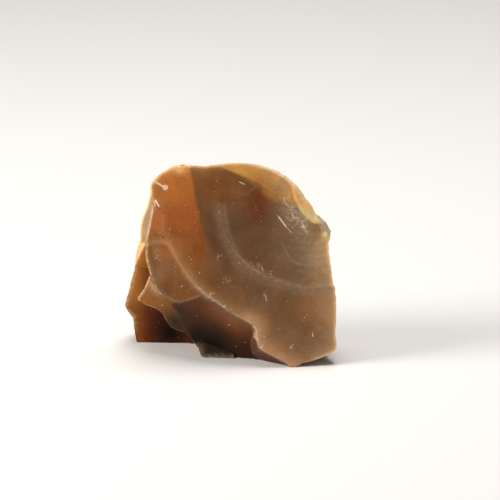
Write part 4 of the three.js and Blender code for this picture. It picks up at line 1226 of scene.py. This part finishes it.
def makeStone():
    # The laid colours, warmed where light comes through, varied by clouds and grain, paled along the hazy
    # lines and on ridges, with flecks, hackles, scratches and chips on top; flecks and hackles are lightened
    # partly as painted glints and highlight
    grainGroup, fleckGroup, strokeGroup, spotGroup = makeGrain(), makeFlecks(), makeStroke(), makeSpot()
    material = bpy.data.materials.new("hornstone brown")
    material.use_nodes = True
    wire = Wiring(material.node_tree)
    shader = material.node_tree.nodes["Principled BSDF"]

    def skin(name, out="Fac"):
        return wire.take("ShaderNodeAttribute", out=out, attribute_name=name)

    def paint(name):
        return (*toLinear(paints[name]), 1)

    # Object coordinates carried over to millimetres in the sight frame
    place = wire.node("ShaderNodeMapping", vector_type="TEXTURE")
    wire.put(place.inputs["Vector"], wire.take("ShaderNodeTexCoord", out="Object"))
    place.inputs["Location"].default_value = heart * mm
    place.inputs["Rotation"].default_value = sightAxes.to_euler()
    place.inputs["Scale"].default_value = (mm, mm, mm)
    point = Port(wire, place.outputs["Vector"])

    grain = wire.use(grainGroup, point, stoneFinish["cloudSize"], stoneFinish["grainSize"])
    glow = wire.span(skin("glow"), 0.06, 0.5) * stoneFinish["glow"]
    colour = wire.mix(glow, skin("tint", "Color"), paint("glow"))
    shade = grain["cloud"] * stoneFinish["cloud"] + 1.0 + grain["grain"] * stoneFinish["grain"]
    warm = wire.noise(point, stoneFinish["warmthScale"], 3.0, 0.6)
    warm = wire.span(warm, 0.3, 0.7, -1.0, 1.0) * stoneFinish["warmth"]
    colour = wire.vector("MULTIPLY", colour, wire.join(shade + warm, shade, shade - warm * 2.0))

    broken = wire.noise(point, stoneFinish["brokenScale"], 4.0, 0.7)
    haze = skin("haze") * wire.span(broken, 0.25, 0.75, 0.35, 1.15)
    colour = wire.mix(haze * stoneFinish["haze"], colour, paint("haze"))
    worn = wire.span(skin("ridge"), 0.53, 0.68) * wire.span(broken, 0.35, 0.62, 0.15, 1.0) * skin("wear")
    colour = wire.mix(worn * stoneFinish["edge"], colour, paint("edge"))

    rays = wire.use(makeHackles(), point, *stoneFinish["rays"], stoneFinish["raysFineness"])["mask"]
    fibres, seen = skin("fibres"), wire.span(skin("front"), 0.4, 0.9)
    hackles = wire.span(fibres * 0.22 + rays, 0.58, 0.78) * wire.span(fibres, 0.03, 0.55)
    shifted = wire.vector("ADD", point, stoneFinish["glintSpecksShift"])
    flecks, dust = (
        wire.use(fleckGroup, place, stoneFinish[kind + "Size"],
                 skin("flecks") * stoneFinish[kind + "Density"], stoneFinish["fleckReach"])["mask"]
        for place, kind in ((point, "fleck"), (shifted, "dust")))
    # bright specks and hackles: the stone's own pale flecks and radial marks, lightened further as painted
    # glints and highlight
    bright = wire.math("MAXIMUM", flecks * stoneFinish["flecks"], dust * stoneFinish["dust"])
    bright = wire.math("MAXIMUM", bright, hackles * stoneFinish["hackles"])
    for *stretch, strength in scratches:
        mark = wire.use(strokeGroup, point, *stretch)["mask"]
        bright = wire.math("MAXIMUM", bright, mark * strength * seen)
    colour = wire.mix(bright, colour, paint("fleck"))
    for *spot, strength, name in chips:
        mark = wire.use(spotGroup, point, *spot)["mask"]
        colour = wire.mix(mark * strength * seen, colour, paint(name))
    wire.put(shader.inputs["Base Color"], colour)

    rough = grain["grain"] * stoneFinish["roughnessSpread"] + stoneFinish["roughness"]
    rough = rough + wire.math("MAXIMUM", worn, bright) * stoneFinish["wornRoughness"]
    wire.put(shader.inputs["Roughness"], rough)
    bumps = wire.node("ShaderNodeBump", stoneFinish["bump"], stoneFinish["bumpDistance"])
    wire.put(bumps.inputs["Height"], grain["height"] + hackles * 1.4 + bright * 0.8)
    wire.put(shader.inputs["Normal"], Port(wire, bumps.outputs["Normal"]))
    shader.inputs["Specular IOR Level"].default_value = stoneFinish["specular"]
    shader.inputs["Subsurface Weight"].default_value = stoneFinish["scatter"]
    shader.inputs["Subsurface Radius"].default_value = stoneFinish["scatterRadius"]
    shader.inputs["Subsurface Scale"].default_value = stoneFinish["scatterScale"]
    return material


stoneMesh.materials.append(makeStone())
report("stone painted")

# Stage
stage = {
    "floorHalf": 1.2,                   # metres
    "floorColour": (0.80, 0.79, 0.77),
    "floorRoughness": 0.8,
    "worldColour": (1.0, 0.98, 0.95),
    "worldStrength": 0.12,
    "lampAim": (0, 0, 15),              # mm
}


def makeFloor():
    # One wide flat square of paper at height 0
    half = stage["floorHalf"]
    mesh = bpy.data.meshes.new("floor")
    corners = [(-half, -half, 0), (half, -half, 0), (half, half, 0), (-half, half, 0)]
    mesh.from_pydata(corners, [], [(0, 1, 2, 3)])
    floor = addObject("floor", mesh)
    paper = bpy.data.materials.new("pale paper")
    paper.use_nodes = True
    shader = paper.node_tree.nodes["Principled BSDF"]
    shader.inputs["Base Color"].default_value = (*stage["floorColour"], 1)
    shader.inputs["Roughness"].default_value = stage["floorRoughness"]
    mesh.materials.append(paper)


makeFloor()

lamps = [
    {"name": "key", "place": (-400, -60, 170), "size": 240, "power": 2.4, "colour": (1.0, 0.97, 0.93)},
    {"name": "top", "place": (40, 60, 420), "size": 260, "power": 1.6, "colour": (1.0, 0.98, 0.96)},
    {"name": "fill", "place": (260, -320, 160), "size": 240, "power": 0.22, "colour": (1.0, 0.98, 0.96)},
]


def makeLamps():
    # Soft square lamps, all turned towards the middle of the stone
    for lamp in lamps:
        data = bpy.data.lights.new(lamp["name"], "AREA")
        data.size = lamp["size"] * mm
        data.energy = lamp["power"]
        data.color = lamp["colour"]
        light = addObject(lamp["name"], data)
        light.location = Vector(lamp["place"]) * mm
        light.rotation_mode = "QUATERNION"
        aim = Vector(stage["lampAim"]) * mm - light.location
        light.rotation_quaternion = aim.to_track_quat("-Z", "Y")


makeLamps()
world = bpy.data.worlds.new("soft room")
world.use_nodes = True
background = world.node_tree.nodes["Background"]
background.inputs["Color"].default_value = (*stage["worldColour"], 1)
background.inputs["Strength"].default_value = stage["worldStrength"]
bpy.context.scene.world = world
bpy.context.scene.view_settings.view_transform = "Standard"
report("stage and lights set")
